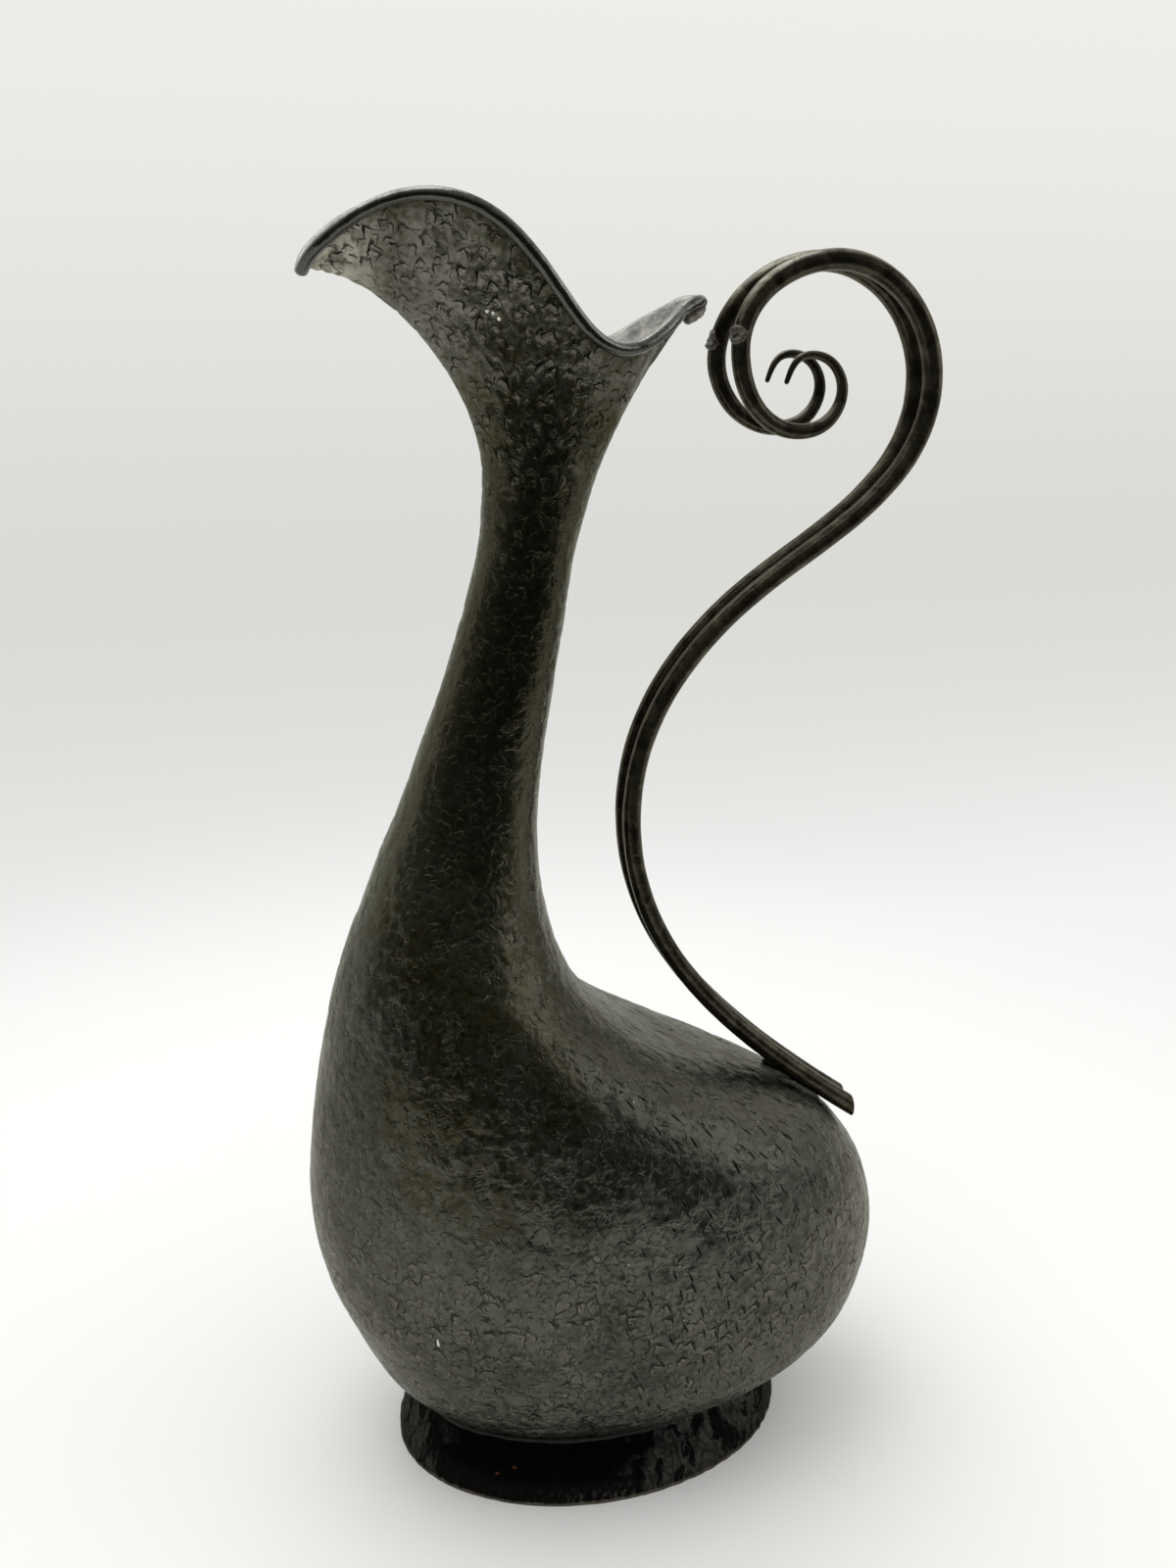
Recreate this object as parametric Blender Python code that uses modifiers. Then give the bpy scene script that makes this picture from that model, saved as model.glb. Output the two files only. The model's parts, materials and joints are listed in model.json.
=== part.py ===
# Hand-hammered copper ewer: a goose-shaped body on an oval foot, with a handle of two scrolled rods.
# Metres, +Z up. The spout points to -X, the handle to +X, and the two halves mirror each other in Y.
import math

import bmesh
import bpy
import numpy as np
from mathutils import Vector
from mathutils.bvhtree import BVHTree

# Overall sizes, and the sizes that the outlines below are drawn at
EWER_LENGTH = 0.1915
EWER_WIDTH = 0.122
EWER_HEIGHT = 0.378
DRAWN_LENGTH, DRAWN_WIDTH, DRAWN_HEIGHT = 0.1915, 0.122, 0.378

# Sheet work
SHEET = 0.0008
SEAM_GAP = 0.0003
BASE_FLANGE = 0.008
BASE_LAP = 0.005
BASE_SHEET = 0.001

# Wired lip
WIRE_RADIUS = 0.0007
WIRE_CLEARANCE = 0.00025
ROLL_TURN = math.radians(285)

# Oval foot
FOOT_FLARE = 0.0073
FOOT_BEND = 0.42
FOOT_WALL = 0.0014
FOOT_EDGE = 0.002
FOOT_SEAT_STATION = 1.0
FOOT_SOLDER_RADIUS = 0.0008

# Handle seat on the tail: the rods lie on a thin bed of solder, and their ends are cut upright
SEAT_SETBACK = 0.0187
SEAT_ROD_RADIUS = 0.003
SEAT_ROD_SPACE = 0.0016
SOLDER_BED = 0.0008
ROD_OVERHANG = 0.013
ROD_END_DROP = 0.0008
HANDLE_SOLDER_RADIUS = 0.0009
HANDLE_SOLDER_LENGTH = 0.014
HANDLE_SOLDER_SETBACK = 0.008
SOLDER_TAPER = 0.5

# Solder left where the scrolls and the lip once met
SCAR_THICKNESS = 0.0009
SCAR_LENGTH = 0.006
SCAR_TURN = math.radians(150)
SCAR_DROP = 0.0045
LIP_SCAR_LENGTH = 0.0046
LIP_SCAR_WIDTH = 0.0064
LIP_SCAR_HEIGHT = 0.0042

# Mesh fineness
COLUMNS_PER_SIDE = 24
RINGS_PER_STATION = 2
MOUTH_RINGS = 8
ROLL_RINGS = 6
FOOT_RINGS = 6
ROD_STEPS = 4
TUBE_RESOLUTION = 2
SOLDER_STEPS = 8
SCAR_STEPS = 6
LUMP_SEGMENTS = 16
STATION_STEP = 0.02
WELD_DISTANCE = 0.00001

# Finishes: colour and roughness
PATINA = ((0.045, 0.043, 0.036), 0.42)
FOOT_PATINA = ((0.032, 0.031, 0.027), 0.40)
DARK_ROD = ((0.040, 0.033, 0.025), 0.30)
SOLDER = ((0.30, 0.29, 0.26), 0.55)
PLAIN_WIRE = ((0.20, 0.11, 0.06), 0.45)
METALLIC = 0.9

# Body sections from the base to the neck: front x, front z, back x, back z, half width
BODY_STATIONS = [
    (-0.0555, 0.0160, 0.0385, 0.0160, 0.0320),
    (-0.0640, 0.0187, 0.0475, 0.0195, 0.0393),
    (-0.0752, 0.0295, 0.0702, 0.0280, 0.0494),
    (-0.0842, 0.0465, 0.0822, 0.0445, 0.0574),
    (-0.0924, 0.0680, 0.0862, 0.0630, 0.0606),
    (-0.0956, 0.0950, 0.0828, 0.0833, 0.0605),
    (-0.0929, 0.1220, 0.0692, 0.1032, 0.0570),
    (-0.0884, 0.1470, 0.0455, 0.1172, 0.0510),
    (-0.0816, 0.1710, 0.0180, 0.1300, 0.0430),
    (-0.0760, 0.1850, -0.0050, 0.1465, 0.0355),
    (-0.0707, 0.1990, -0.0185, 0.1670, 0.0285),
    (-0.0645, 0.2130, -0.0242, 0.1920, 0.0225),
    (-0.0578, 0.2300, -0.0243, 0.2140, 0.0187),
    (-0.0507, 0.2490, -0.0214, 0.2360, 0.0165),
    (-0.0440, 0.2700, -0.0172, 0.2600, 0.0150),
    (-0.0393, 0.2880, -0.0134, 0.2830, 0.0147),
    (-0.0381, 0.3060, -0.0075, 0.3030, 0.0153),
]

# Lip from the back tongue to the spout tip: x, half width, z, lean from upright in degrees
LIP_POINTS = [
    (0.0230, 0.0000, 0.3518, 43),
    (0.0214, 0.0030, 0.3520, 39),
    (0.0176, 0.0048, 0.3506, 34),
    (0.0132, 0.0088, 0.3480, 31),
    (0.0080, 0.0134, 0.3446, 33),
    (0.0028, 0.0158, 0.3414, 36),
    (-0.0035, 0.0178, 0.3398, 36),
    (-0.0100, 0.0200, 0.3415, 33),
    (-0.0190, 0.0220, 0.3503, 28),
    (-0.0310, 0.0235, 0.3650, 25),
    (-0.0420, 0.0236, 0.3735, 31),
    (-0.0550, 0.0210, 0.3766, 40),
    (-0.0680, 0.0153, 0.3736, 51),
    (-0.0770, 0.0095, 0.3678, 62),
    (-0.0825, 0.0045, 0.3625, 74),
    (-0.0842, 0.0000, 0.3592, 85),
]

# How far the sheet keeps its direction above the neck and below the lip, as shares of the way between them
NECK_PULL = 0.23
LIP_PULL = 0.41

# Handle rod above its seat: x, z, half of the gap between the two rods' centres, rod radius
HANDLE_ROUTE = [
    (0.0405, 0.1325, 0.00375, 0.00295),
    (0.0260, 0.1483, 0.00375, 0.00285),
    (0.0090, 0.1774, 0.00370, 0.00275),
    (0.0040, 0.2040, 0.00375, 0.00270),
    (0.0078, 0.2288, 0.00380, 0.00270),
    (0.0210, 0.2522, 0.00390, 0.00275),
    (0.0455, 0.2745, 0.00400, 0.00280),
    (0.0758, 0.2960, 0.00430, 0.00285),
    (0.0906, 0.3159, 0.00470, 0.00290),
    (0.0930, 0.3303, 0.00500, 0.00290),
    (0.0860, 0.3501, 0.00520, 0.00298),
    (0.0680, 0.3620, 0.00540, 0.00300),
    (0.0479, 0.3596, 0.00550, 0.00290),
    (0.0367, 0.3507, 0.00640, 0.00278),
    (0.0322, 0.3370, 0.00930, 0.00265),
    (0.0378, 0.3227, 0.00960, 0.00245),
    (0.0488, 0.3169, 0.00860, 0.00220),
    (0.0595, 0.3194, 0.00800, 0.00195),
    (0.0637, 0.3281, 0.00760, 0.00165),
    (0.0594, 0.3359, 0.00730, 0.00140),
    (0.0508, 0.3366, 0.00710, 0.00105),
    (0.0470, 0.3302, 0.00700, 0.00070),
]


# Smooth curves
def spline(places, values, wanted):
    # Natural cubic spline through hand-placed values
    places = np.asarray(places, float)
    values = np.asarray(values, float)
    steps = np.diff(places)
    count = len(places)
    system = np.eye(count)
    slopes = np.zeros_like(values)
    for i in range(1, count - 1):
        system[i, i - 1:i + 2] = steps[i - 1], 2 * (steps[i - 1] + steps[i]), steps[i]
        rise = (values[i + 1] - values[i]) / steps[i] - (values[i] - values[i - 1]) / steps[i - 1]
        slopes[i] = 6 * rise
    bend = np.linalg.solve(system, slopes)
    wanted = np.atleast_1d(np.asarray(wanted, float))
    left = np.clip(np.searchsorted(places, wanted, side="right") - 1, 0, count - 2)
    step = steps[left][:, None]
    before = (wanted - places[left])[:, None]
    after = step - before
    cubic = (bend[left] * after ** 3 + bend[left + 1] * before ** 3) / (6 * step)
    line_left = (values[left] / step - bend[left] * step / 6) * after
    line_right = (values[left + 1] / step - bend[left + 1] * step / 6) * before
    return cubic + line_left + line_right


def chord_places(points):
    # Running length along hand-placed points, from 0 to 1
    lengths = np.linalg.norm(np.diff(np.asarray(points), axis=0), axis=1)
    places = np.concatenate([[0.0], np.cumsum(lengths)])
    return places / places[-1]


def unit(vectors):
    return vectors / np.linalg.norm(vectors, axis=-1, keepdims=True)


def drawn(rows, axes):
    # Rows of a drawn outline at the ewer's own size; axes names what each column follows, or "-" for nothing
    stretch = {
        "x": EWER_LENGTH / DRAWN_LENGTH,
        "y": EWER_WIDTH / DRAWN_WIDTH,
        "z": EWER_HEIGHT / DRAWN_HEIGHT,
        "-": 1,
    }
    return np.array(rows, float) * [stretch[axis] for axis in axes]


def bezier(start, start_pull, end_pull, end, share):
    rest = 1 - share
    return (rest ** 3 * start + 3 * rest ** 2 * share * start_pull
            + 3 * rest * share ** 2 * end_pull + share ** 3 * end)


# Columns run round the body from the back, and stand closer at the tongue and the spout tip
def column_shares():
    even = np.arange(COLUMNS_PER_SIDE + 1) / COLUMNS_PER_SIDE
    eased = (1 - np.cos(math.pi * even)) / 2
    return (even + eased) / 2


def column_angles():
    half = math.pi * column_shares()
    return np.concatenate([half, 2 * math.pi - half[-2:0:-1]])


def mirrored(half):
    # A half ring on the +Y side becomes a whole ring
    return np.concatenate([half, half[-2:0:-1] * np.array([1, -1, 1])])


# Body surface
def body_section(station):
    row = spline(range(len(BODY_STATIONS)), drawn(BODY_STATIONS, "xzxzy"), station)[0]
    front_x, front_z, back_x, back_z, half_width = row
    return np.array([front_x, 0, front_z]), np.array([back_x, 0, back_z]), half_width


def body_ring(station, inset=0.0):
    front, back, half_width = body_section(station)
    middle = (front + back) / 2
    reach = (back - front) / 2
    reach = reach * (1 - inset / np.linalg.norm(reach))
    angles = column_angles()
    ring = middle + np.cos(angles)[:, None] * reach
    ring[:, 1] += np.sin(angles) * (half_width - inset)
    return ring


def ring_normals(station):
    # Outward normals of the body along one ring
    along = np.roll(body_ring(station), -1, axis=0) - np.roll(body_ring(station), 1, axis=0)
    up = body_ring(station + STATION_STEP) - body_ring(station - STATION_STEP)
    return unit(np.cross(along, up))


def lip_rows():
    points = drawn(LIP_POINTS, "xyz-")
    lip = spline(chord_places(points[:, :3]), points, column_shares())
    lip[0, 1] = lip[-1, 1] = 0
    return lip[:, :3], np.radians(lip[:, 3])


def mouth_frame():
    # Lip edge, the way the sheet flows to it, that way square to the edge, and the outward normal
    edge, lean = lip_rows()
    front, back, _ = body_section(len(BODY_STATIONS) - 1)
    outward = edge - (front + back) / 2
    outward[:, 2] = 0
    outward = unit(outward)
    flow = outward * np.sin(lean)[:, None]
    flow[:, 2] = np.cos(lean)
    edge, flow = mirrored(edge), mirrored(flow)
    along = unit(np.roll(edge, -1, axis=0) - np.roll(edge, 1, axis=0))
    square = unit(flow - along * np.sum(flow * along, axis=1, keepdims=True))
    return edge, flow, square, np.cross(along, square)


def roll_centre():
    edge, _, _, normal = mouth_frame()
    return edge + normal * (WIRE_RADIUS + WIRE_CLEARANCE)


def body_rings():
    last = len(BODY_STATIONS) - 1
    rings = [body_ring(0, BASE_FLANGE)]
    rings += [body_ring(i / RINGS_PER_STATION) for i in range(last * RINGS_PER_STATION + 1)]
    edge, flow, square, normal = mouth_frame()
    neck = rings[-1]
    reach = np.linalg.norm(edge - neck, axis=1, keepdims=True)
    from_neck = neck + unit(neck - body_ring(last - STATION_STEP)) * reach * NECK_PULL
    to_edge = edge - flow * reach * LIP_PULL
    for i in range(1, MOUTH_RINGS + 1):
        rings.append(bezier(neck, from_neck, to_edge, edge, i / MOUTH_RINGS))
    radius = WIRE_RADIUS + WIRE_CLEARANCE
    for i in range(1, ROLL_RINGS + 1):
        turn = ROLL_TURN * i / ROLL_RINGS
        rings.append(roll_centre() + radius * (square * math.sin(turn) - normal * math.cos(turn)))
    return rings


# Objects
def make_collection(name):
    collection = bpy.data.collections.new(name)
    bpy.context.scene.collection.children.link(collection)
    return collection


def make_metal(name, colour, roughness):
    material = bpy.data.materials.new(name)
    material.use_nodes = True
    shader = material.node_tree.nodes["Principled BSDF"]
    shader.inputs["Base Color"].default_value = (*colour, 1)
    shader.inputs["Roughness"].default_value = roughness
    shader.inputs["Metallic"].default_value = METALLIC
    return material


def add_object(name, data, collection, finish):
    data.materials.append(make_metal(name + "_metal", *finish))
    piece = bpy.data.objects.new(name, data)
    collection.objects.link(piece)
    return piece


def ring_faces(ring_count, column_count):
    faces = []
    for i in range(ring_count - 1):
        for k in range(column_count):
            after = (k + 1) % column_count
            first = i * column_count
            faces.append((first + k, first + after, first + column_count + after, first + column_count + k))
    return faces


def add_shell(name, rings, thickness, collection, finish):
    # Open lofted surface, thickened away from its outer face
    vertices = [tuple(point) for ring in rings for point in ring]
    mesh = bpy.data.meshes.new(name)
    mesh.from_pydata(vertices, [], ring_faces(len(rings), len(rings[0])))
    mesh.shade_smooth()
    shell = add_object(name, mesh, collection, finish)
    solidify = shell.modifiers.new("sheet", "SOLIDIFY")
    solidify.thickness = thickness
    solidify.offset = -1
    solidify.use_even_offset = True
    return shell


def make_tube_curve(name, points, radii, closed):
    curve = bpy.data.curves.new(name, "CURVE")
    curve.dimensions = "3D"
    curve.bevel_depth = 1.0
    curve.bevel_resolution = TUBE_RESOLUTION
    curve.use_fill_caps = not closed
    path = curve.splines.new("POLY")
    path.points.add(len(points) - 1)
    path.use_cyclic_u = closed
    for place, point, radius in zip(path.points, points, radii):
        place.co = (*point, 1)
        place.radius = radius
    return curve


def add_tube(name, points, radii, collection, finish, closed=False):
    return add_object(name, make_tube_curve(name, points, radii, closed), collection, finish)


# Handle
def seat_x():
    # Measured from the tail's rear end
    return drawn(BODY_STATIONS, "xzxzy")[:, 2].max() - SEAT_SETBACK


def seat_half_gap():
    return SEAT_ROD_RADIUS + SEAT_ROD_SPACE / 2


def tail_seat(surface):
    # Where a rod meets the tail: point on the sheet, its normal, and the downhill direction
    above = Vector((seat_x(), seat_half_gap(), 2 * EWER_HEIGHT))
    point, normal, _, _ = surface.ray_cast(above, Vector((0, 0, -1)))
    normal = unit(np.array([normal.x, 0, normal.z]))
    downhill = np.array([normal[2], 0, -normal[0]])
    return np.array(point), normal, downhill


def rod_line(surface):
    # Centres and radii along the +Y rod, from beyond its cut on the tail to the scroll's tip
    seat, normal, downhill = tail_seat(surface)
    on_tail = seat + normal * (SEAT_ROD_RADIUS + SOLDER_BED)
    past_cut = (ROD_OVERHANG + 2 * SEAT_ROD_RADIUS) / downhill[0]
    end = on_tail + downhill * past_cut - normal * ROD_END_DROP
    controls = [(*end, SEAT_ROD_RADIUS), (*on_tail, SEAT_ROD_RADIUS)]
    controls += [(x, half_gap, z, radius) for x, z, half_gap, radius in drawn(HANDLE_ROUTE, "xz--")]
    controls = np.array(controls)
    places = chord_places(controls[:, :3])
    count = len(controls) - 1
    wanted = np.interp(np.linspace(0, count, count * ROD_STEPS + 1), range(count + 1), places)
    line = spline(places, controls, wanted)
    return line[:, :3], line[:, 3]


def add_rod(name, side, line, collection, finish):
    # A tube along the line, with its lower end cut upright behind the seat
    points, radii = line
    points = points * np.array([1, side, 1])
    guide = bpy.data.objects.new(name + "_guide", make_tube_curve(name, points, radii, closed=False))
    collection.objects.link(guide)
    mesh = bpy.data.meshes.new_from_object(guide.evaluated_get(bpy.context.evaluated_depsgraph_get()))
    shape = bmesh.new()
    shape.from_mesh(mesh)
    bmesh.ops.remove_doubles(shape, verts=shape.verts, dist=WELD_DISTANCE)
    above_seat = points[ROD_STEPS][2] + 2 * SEAT_ROD_RADIUS
    low = {vertex for vertex in shape.verts if vertex.co.z < above_seat}
    near_cut = list(low)
    near_cut += [item for item in [*shape.edges, *shape.faces] if low.issuperset(item.verts)]
    cut = bmesh.ops.bisect_plane(shape, geom=near_cut, plane_co=(seat_x() + ROD_OVERHANG, 0, 0),
                                 plane_no=(1, 0, 0), clear_outer=True)
    cut_edges = [item for item in cut["geom_cut"] if isinstance(item, bmesh.types.BMEdge)]
    bmesh.ops.contextual_create(shape, geom=cut_edges)
    shape.to_mesh(mesh)
    shape.free()
    rod = add_object(name, mesh, collection, finish)
    rod.matrix_world = guide.matrix_world
    bpy.data.objects.remove(guide, do_unlink=True)
    return rod


def add_handle_solder(name, side, surface, collection, finish):
    # Bead of solder in the wedge between a rod and the tail
    seat, _, downhill = tail_seat(surface)
    rod_height = SEAT_ROD_RADIUS + SOLDER_BED
    bead_height = HANDLE_SOLDER_RADIUS + SEAM_GAP
    apart = SEAT_ROD_RADIUS + SEAM_GAP + HANDLE_SOLDER_RADIUS
    aside = math.sqrt(apart ** 2 - (rod_height - bead_height) ** 2)
    points, radii = [], []
    for share in np.linspace(-1, 1, SOLDER_STEPS + 1):
        over = seat + downhill * (share * HANDLE_SOLDER_LENGTH / 2 - HANDLE_SOLDER_SETBACK)
        above = Vector((over[0], seat_half_gap() + aside, 2 * EWER_HEIGHT))
        ground, ground_normal, _, _ = surface.ray_cast(above, Vector((0, 0, -1)))
        point = np.array(ground) + np.array(ground_normal) * bead_height
        points.append(point * np.array([1, side, 1]))
        radii.append(HANDLE_SOLDER_RADIUS * (1 - SOLDER_TAPER * share ** 2))
    return add_tube(name, points, radii, collection, finish)


# Solder scars
def lip_scar_centre():
    # In the corner between the bead and the sheet under it, at the tongue's end
    _, _, square, normal = mouth_frame()
    roll_radius = WIRE_RADIUS + WIRE_CLEARANCE
    below = roll_radius + SHEET + SEAM_GAP + LIP_SCAR_LENGTH / 2
    proud = SEAM_GAP + LIP_SCAR_HEIGHT / 2 - roll_radius
    return roll_centre()[0] - square[0] * below + normal[0] * proud, normal[0]


def add_lip_scar(name, collection, finish):
    centre, normal = lip_scar_centre()
    mesh = bpy.data.meshes.new(name)
    shape = bmesh.new()
    bmesh.ops.create_uvsphere(shape, u_segments=LUMP_SEGMENTS, v_segments=LUMP_SEGMENTS // 2, radius=0.5)
    bmesh.ops.scale(shape, vec=(LIP_SCAR_LENGTH, LIP_SCAR_WIDTH, LIP_SCAR_HEIGHT), verts=shape.verts)
    shape.to_mesh(mesh)
    shape.free()
    mesh.shade_smooth()
    lump = add_object(name, mesh, collection, finish)
    lump.location = centre
    lump.rotation_euler = (0, math.atan2(normal[0], normal[2]), 0)
    return lump


def add_scroll_scar(name, side, line, collection, finish):
    # Crust of old solder round the side of the scroll that faces the lip
    points, radii = line
    lengths = np.concatenate([[0.0], np.cumsum(np.linalg.norm(np.diff(points, axis=0), axis=1))])
    lip_x, _, lip_z = lip_scar_centre()[0]
    away = np.hypot(points[:, 0] - lip_x, points[:, 2] - (lip_z - SCAR_DROP))
    nearest = lengths[np.argmin(away)]
    wanted = nearest + np.linspace(-0.5, 0.5, SCAR_STEPS) * SCAR_LENGTH
    centres = spline(lengths, points, wanted)
    width = spline(lengths, radii[:, None], wanted)[:, 0]
    along = unit(np.gradient(centres, axis=0))
    across = np.tile([0.0, 1.0, 0.0], (len(centres), 1))
    outward = unit(np.cross(across, along))
    across = np.cross(along, outward)
    rows = []
    for turn in np.linspace(-SCAR_TURN / 2, SCAR_TURN / 2, SCAR_STEPS + 3):
        reach = outward * math.cos(turn) + across * math.sin(turn)
        rows.append(centres + reach * (width + SEAM_GAP)[:, None])
    mirror = np.array([1, side, 1])
    vertices = [tuple(point * mirror) for row in rows for point in row]
    count = len(centres)
    faces = [(i * count + k, i * count + k + 1, (i + 1) * count + k + 1, (i + 1) * count + k)
             for i in range(len(rows) - 1) for k in range(count - 1)]
    mesh = bpy.data.meshes.new(name)
    mesh.from_pydata(vertices, [], faces if side < 0 else [face[::-1] for face in faces])
    scar = add_object(name, mesh, collection, finish)
    solidify = scar.modifiers.new("crust", "SOLIDIFY")
    solidify.thickness = SCAR_THICKNESS
    solidify.offset = 1
    return scar


# Foot and base
def foot_rings():
    # From the belly's underside down to the upright band on the ground
    top = body_ring(FOOT_SEAT_STATION) + ring_normals(FOOT_SEAT_STATION) * SEAM_GAP
    middle = top.mean(axis=0)
    angles = column_angles()
    half_length = (top[:, 0].max() - top[:, 0].min()) / 2 + FOOT_FLARE
    half_width = top[:, 1].max() + FOOT_FLARE
    bottom = np.zeros_like(top)
    bottom[:, 0] = (top[:, 0].max() + top[:, 0].min()) / 2 + half_length * np.cos(angles)
    bottom[:, 1] = half_width * np.sin(angles)
    bottom[:, 2] = FOOT_EDGE
    third = np.array([0, 0, (middle[2] - FOOT_EDGE) / 3])
    outward = (bottom - top) * np.array([FOOT_BEND, FOOT_BEND, 0])
    shares = np.linspace(0, 1, FOOT_RINGS + 1)
    rings = [bezier(top, top + outward - third, bottom + third, bottom, share) for share in shares]
    rings.append(bottom * np.array([1, 1, 0]))
    return rings[::-1]


def foot_solder_points():
    # Centre line of the solder in the groove between belly and foot
    rings = foot_rings()
    top, below = rings[-1], rings[-2]
    along = np.roll(top, -1, axis=0) - np.roll(top, 1, axis=0)
    foot_normal = unit(np.cross(along, top - below))
    belly_normal = ring_normals(FOOT_SEAT_STATION)
    between = unit(foot_normal + belly_normal)
    spread = np.sum(between * belly_normal, axis=1, keepdims=True)
    return body_ring(FOOT_SEAT_STATION) + between * (FOOT_SOLDER_RADIUS + SEAM_GAP) / spread


def add_base_disc(name, collection, finish):
    front, back, half_width = body_section(0)
    spread = BASE_FLANGE - BASE_LAP
    half_length = (back[0] - front[0]) / 2 - spread
    mesh = bpy.data.meshes.new(name)
    shape = bmesh.new()
    bmesh.ops.create_cone(shape, cap_ends=True, segments=2 * COLUMNS_PER_SIDE,
                          radius1=1, radius2=1, depth=BASE_SHEET)
    bmesh.ops.scale(shape, vec=(half_length, half_width - spread, 1), verts=shape.verts)
    shape.to_mesh(mesh)
    shape.free()
    disc = add_object(name, mesh, collection, finish)
    disc.location = ((front[0] + back[0]) / 2, 0, front[2] + SHEET + SEAM_GAP + BASE_SHEET / 2)
    return disc


def main():
    for old in list(bpy.data.objects):
        bpy.data.objects.remove(old, do_unlink=True)
    ewer = make_collection("ewer")
    rings = body_rings()
    add_shell("body_shell", rings, SHEET, ewer, PATINA)
    add_base_disc("base_disc", ewer, PATINA)
    add_shell("foot_skirt", foot_rings(), FOOT_WALL, ewer, FOOT_PATINA)
    for name, line, radius, finish in (
        ("foot_solder_ring", foot_solder_points(), FOOT_SOLDER_RADIUS, SOLDER),
        ("rim_wire", roll_centre(), WIRE_RADIUS, PLAIN_WIRE),
    ):
        add_tube(name, line, [radius] * len(line), ewer, finish, closed=True)

    vertices = [tuple(point) for ring in rings for point in ring]
    surface = BVHTree.FromPolygons(vertices, ring_faces(len(rings), len(rings[0])))
    line = rod_line(surface)
    for word, side in (("left", -1), ("right", 1)):
        add_rod(word + "_handle_rod", side, line, ewer, DARK_ROD)
        add_handle_solder(word + "_handle_solder", side, surface, ewer, SOLDER)
        add_scroll_scar(word + "_scroll_scar", side, line, ewer, SOLDER)
    add_lip_scar("lip_solder_scar", ewer, SOLDER)


main()
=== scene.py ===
import json
import math

import bmesh
import bpy
import numpy as np
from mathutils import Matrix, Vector
from mathutils.bvhtree import BVHTree
from mathutils.kdtree import KDTree

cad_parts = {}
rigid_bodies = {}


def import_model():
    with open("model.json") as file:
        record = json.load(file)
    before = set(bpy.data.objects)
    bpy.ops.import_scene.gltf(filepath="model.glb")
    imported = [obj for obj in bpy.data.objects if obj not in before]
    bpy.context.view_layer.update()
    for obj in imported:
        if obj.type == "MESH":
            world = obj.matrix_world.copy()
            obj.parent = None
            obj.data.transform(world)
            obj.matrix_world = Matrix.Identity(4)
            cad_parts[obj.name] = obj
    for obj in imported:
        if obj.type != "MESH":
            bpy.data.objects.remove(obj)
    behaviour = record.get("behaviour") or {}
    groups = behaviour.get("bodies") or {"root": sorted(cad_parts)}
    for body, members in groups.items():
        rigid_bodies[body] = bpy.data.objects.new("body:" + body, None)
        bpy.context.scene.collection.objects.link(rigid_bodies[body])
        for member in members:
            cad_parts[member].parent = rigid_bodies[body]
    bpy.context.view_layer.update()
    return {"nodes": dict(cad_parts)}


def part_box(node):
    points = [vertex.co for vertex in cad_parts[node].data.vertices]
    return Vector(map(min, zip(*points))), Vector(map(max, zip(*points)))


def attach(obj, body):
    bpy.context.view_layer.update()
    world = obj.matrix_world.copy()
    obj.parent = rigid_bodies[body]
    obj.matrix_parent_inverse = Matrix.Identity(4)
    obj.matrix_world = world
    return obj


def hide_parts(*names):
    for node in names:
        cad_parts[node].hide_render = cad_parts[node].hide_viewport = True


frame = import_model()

scene = bpy.context.scene
scene.view_settings.view_transform = "Standard"
print("frame loaded with", len(frame["nodes"]), "pieces")

# The camera stands where the photograph was taken from
cameraSetup = {"place": (-0.12638, -0.41131, 0.346), "turn": (73.1, 0, -16), "lens": 34.875}
cameraData = bpy.data.cameras.new("camera")
cameraData.lens = cameraSetup["lens"]
cameraData.clip_start = 0.01
camera = bpy.data.objects.new("camera", cameraData)
camera.location = cameraSetup["place"]
camera.rotation_euler = [math.radians(angle) for angle in cameraSetup["turn"]]
scene.collection.objects.link(camera)
scene.camera = camera


# Number helpers
def throughRows(places, rows, wanted):
    # natural cubic through the drawn rows
    places = np.asarray(places, float)
    rows = np.asarray(rows, float)
    wanted = np.atleast_1d(np.asarray(wanted, float))
    step = np.diff(places)
    count = len(places)
    system = np.eye(count)
    right = np.zeros_like(rows)
    for i in range(1, count - 1):
        system[i, i - 1:i + 2] = step[i - 1], 2 * (step[i - 1] + step[i]), step[i]
        right[i] = 6 * ((rows[i + 1] - rows[i]) / step[i] - (rows[i] - rows[i - 1]) / step[i - 1])
    bend = np.linalg.solve(system, right)
    left = np.clip(np.searchsorted(places, wanted, side="right") - 1, 0, count - 2)
    span = step[left][:, None]
    before = (wanted - places[left])[:, None]
    after = span - before
    cubic = (bend[left] * after ** 3 + bend[left + 1] * before ** 3) / (6 * span)
    lineLeft = (rows[left] / span - bend[left] * span / 6) * after
    lineRight = (rows[left + 1] / span - bend[left + 1] * span / 6) * before
    return cubic + lineLeft + lineRight


def runningLength(points):
    steps = np.linalg.norm(np.diff(np.asarray(points), axis=0), axis=1)
    return np.concatenate([[0.0], np.cumsum(steps)])


def runningShare(points):
    lengths = runningLength(points)
    return lengths / lengths[-1]


def rowsAt(wanted, places, rows):
    return np.array([np.interp(wanted, places, column) for column in rows.T]).T


def circle(count):
    return np.linspace(0, 2 * math.pi, count, endpoint=False)


def unitRows(rows):
    return rows / np.linalg.norm(rows, axis=-1, keepdims=True)


noiseTable = np.random.default_rng(11).uniform(-1, 1, (32, 32, 32))


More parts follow.
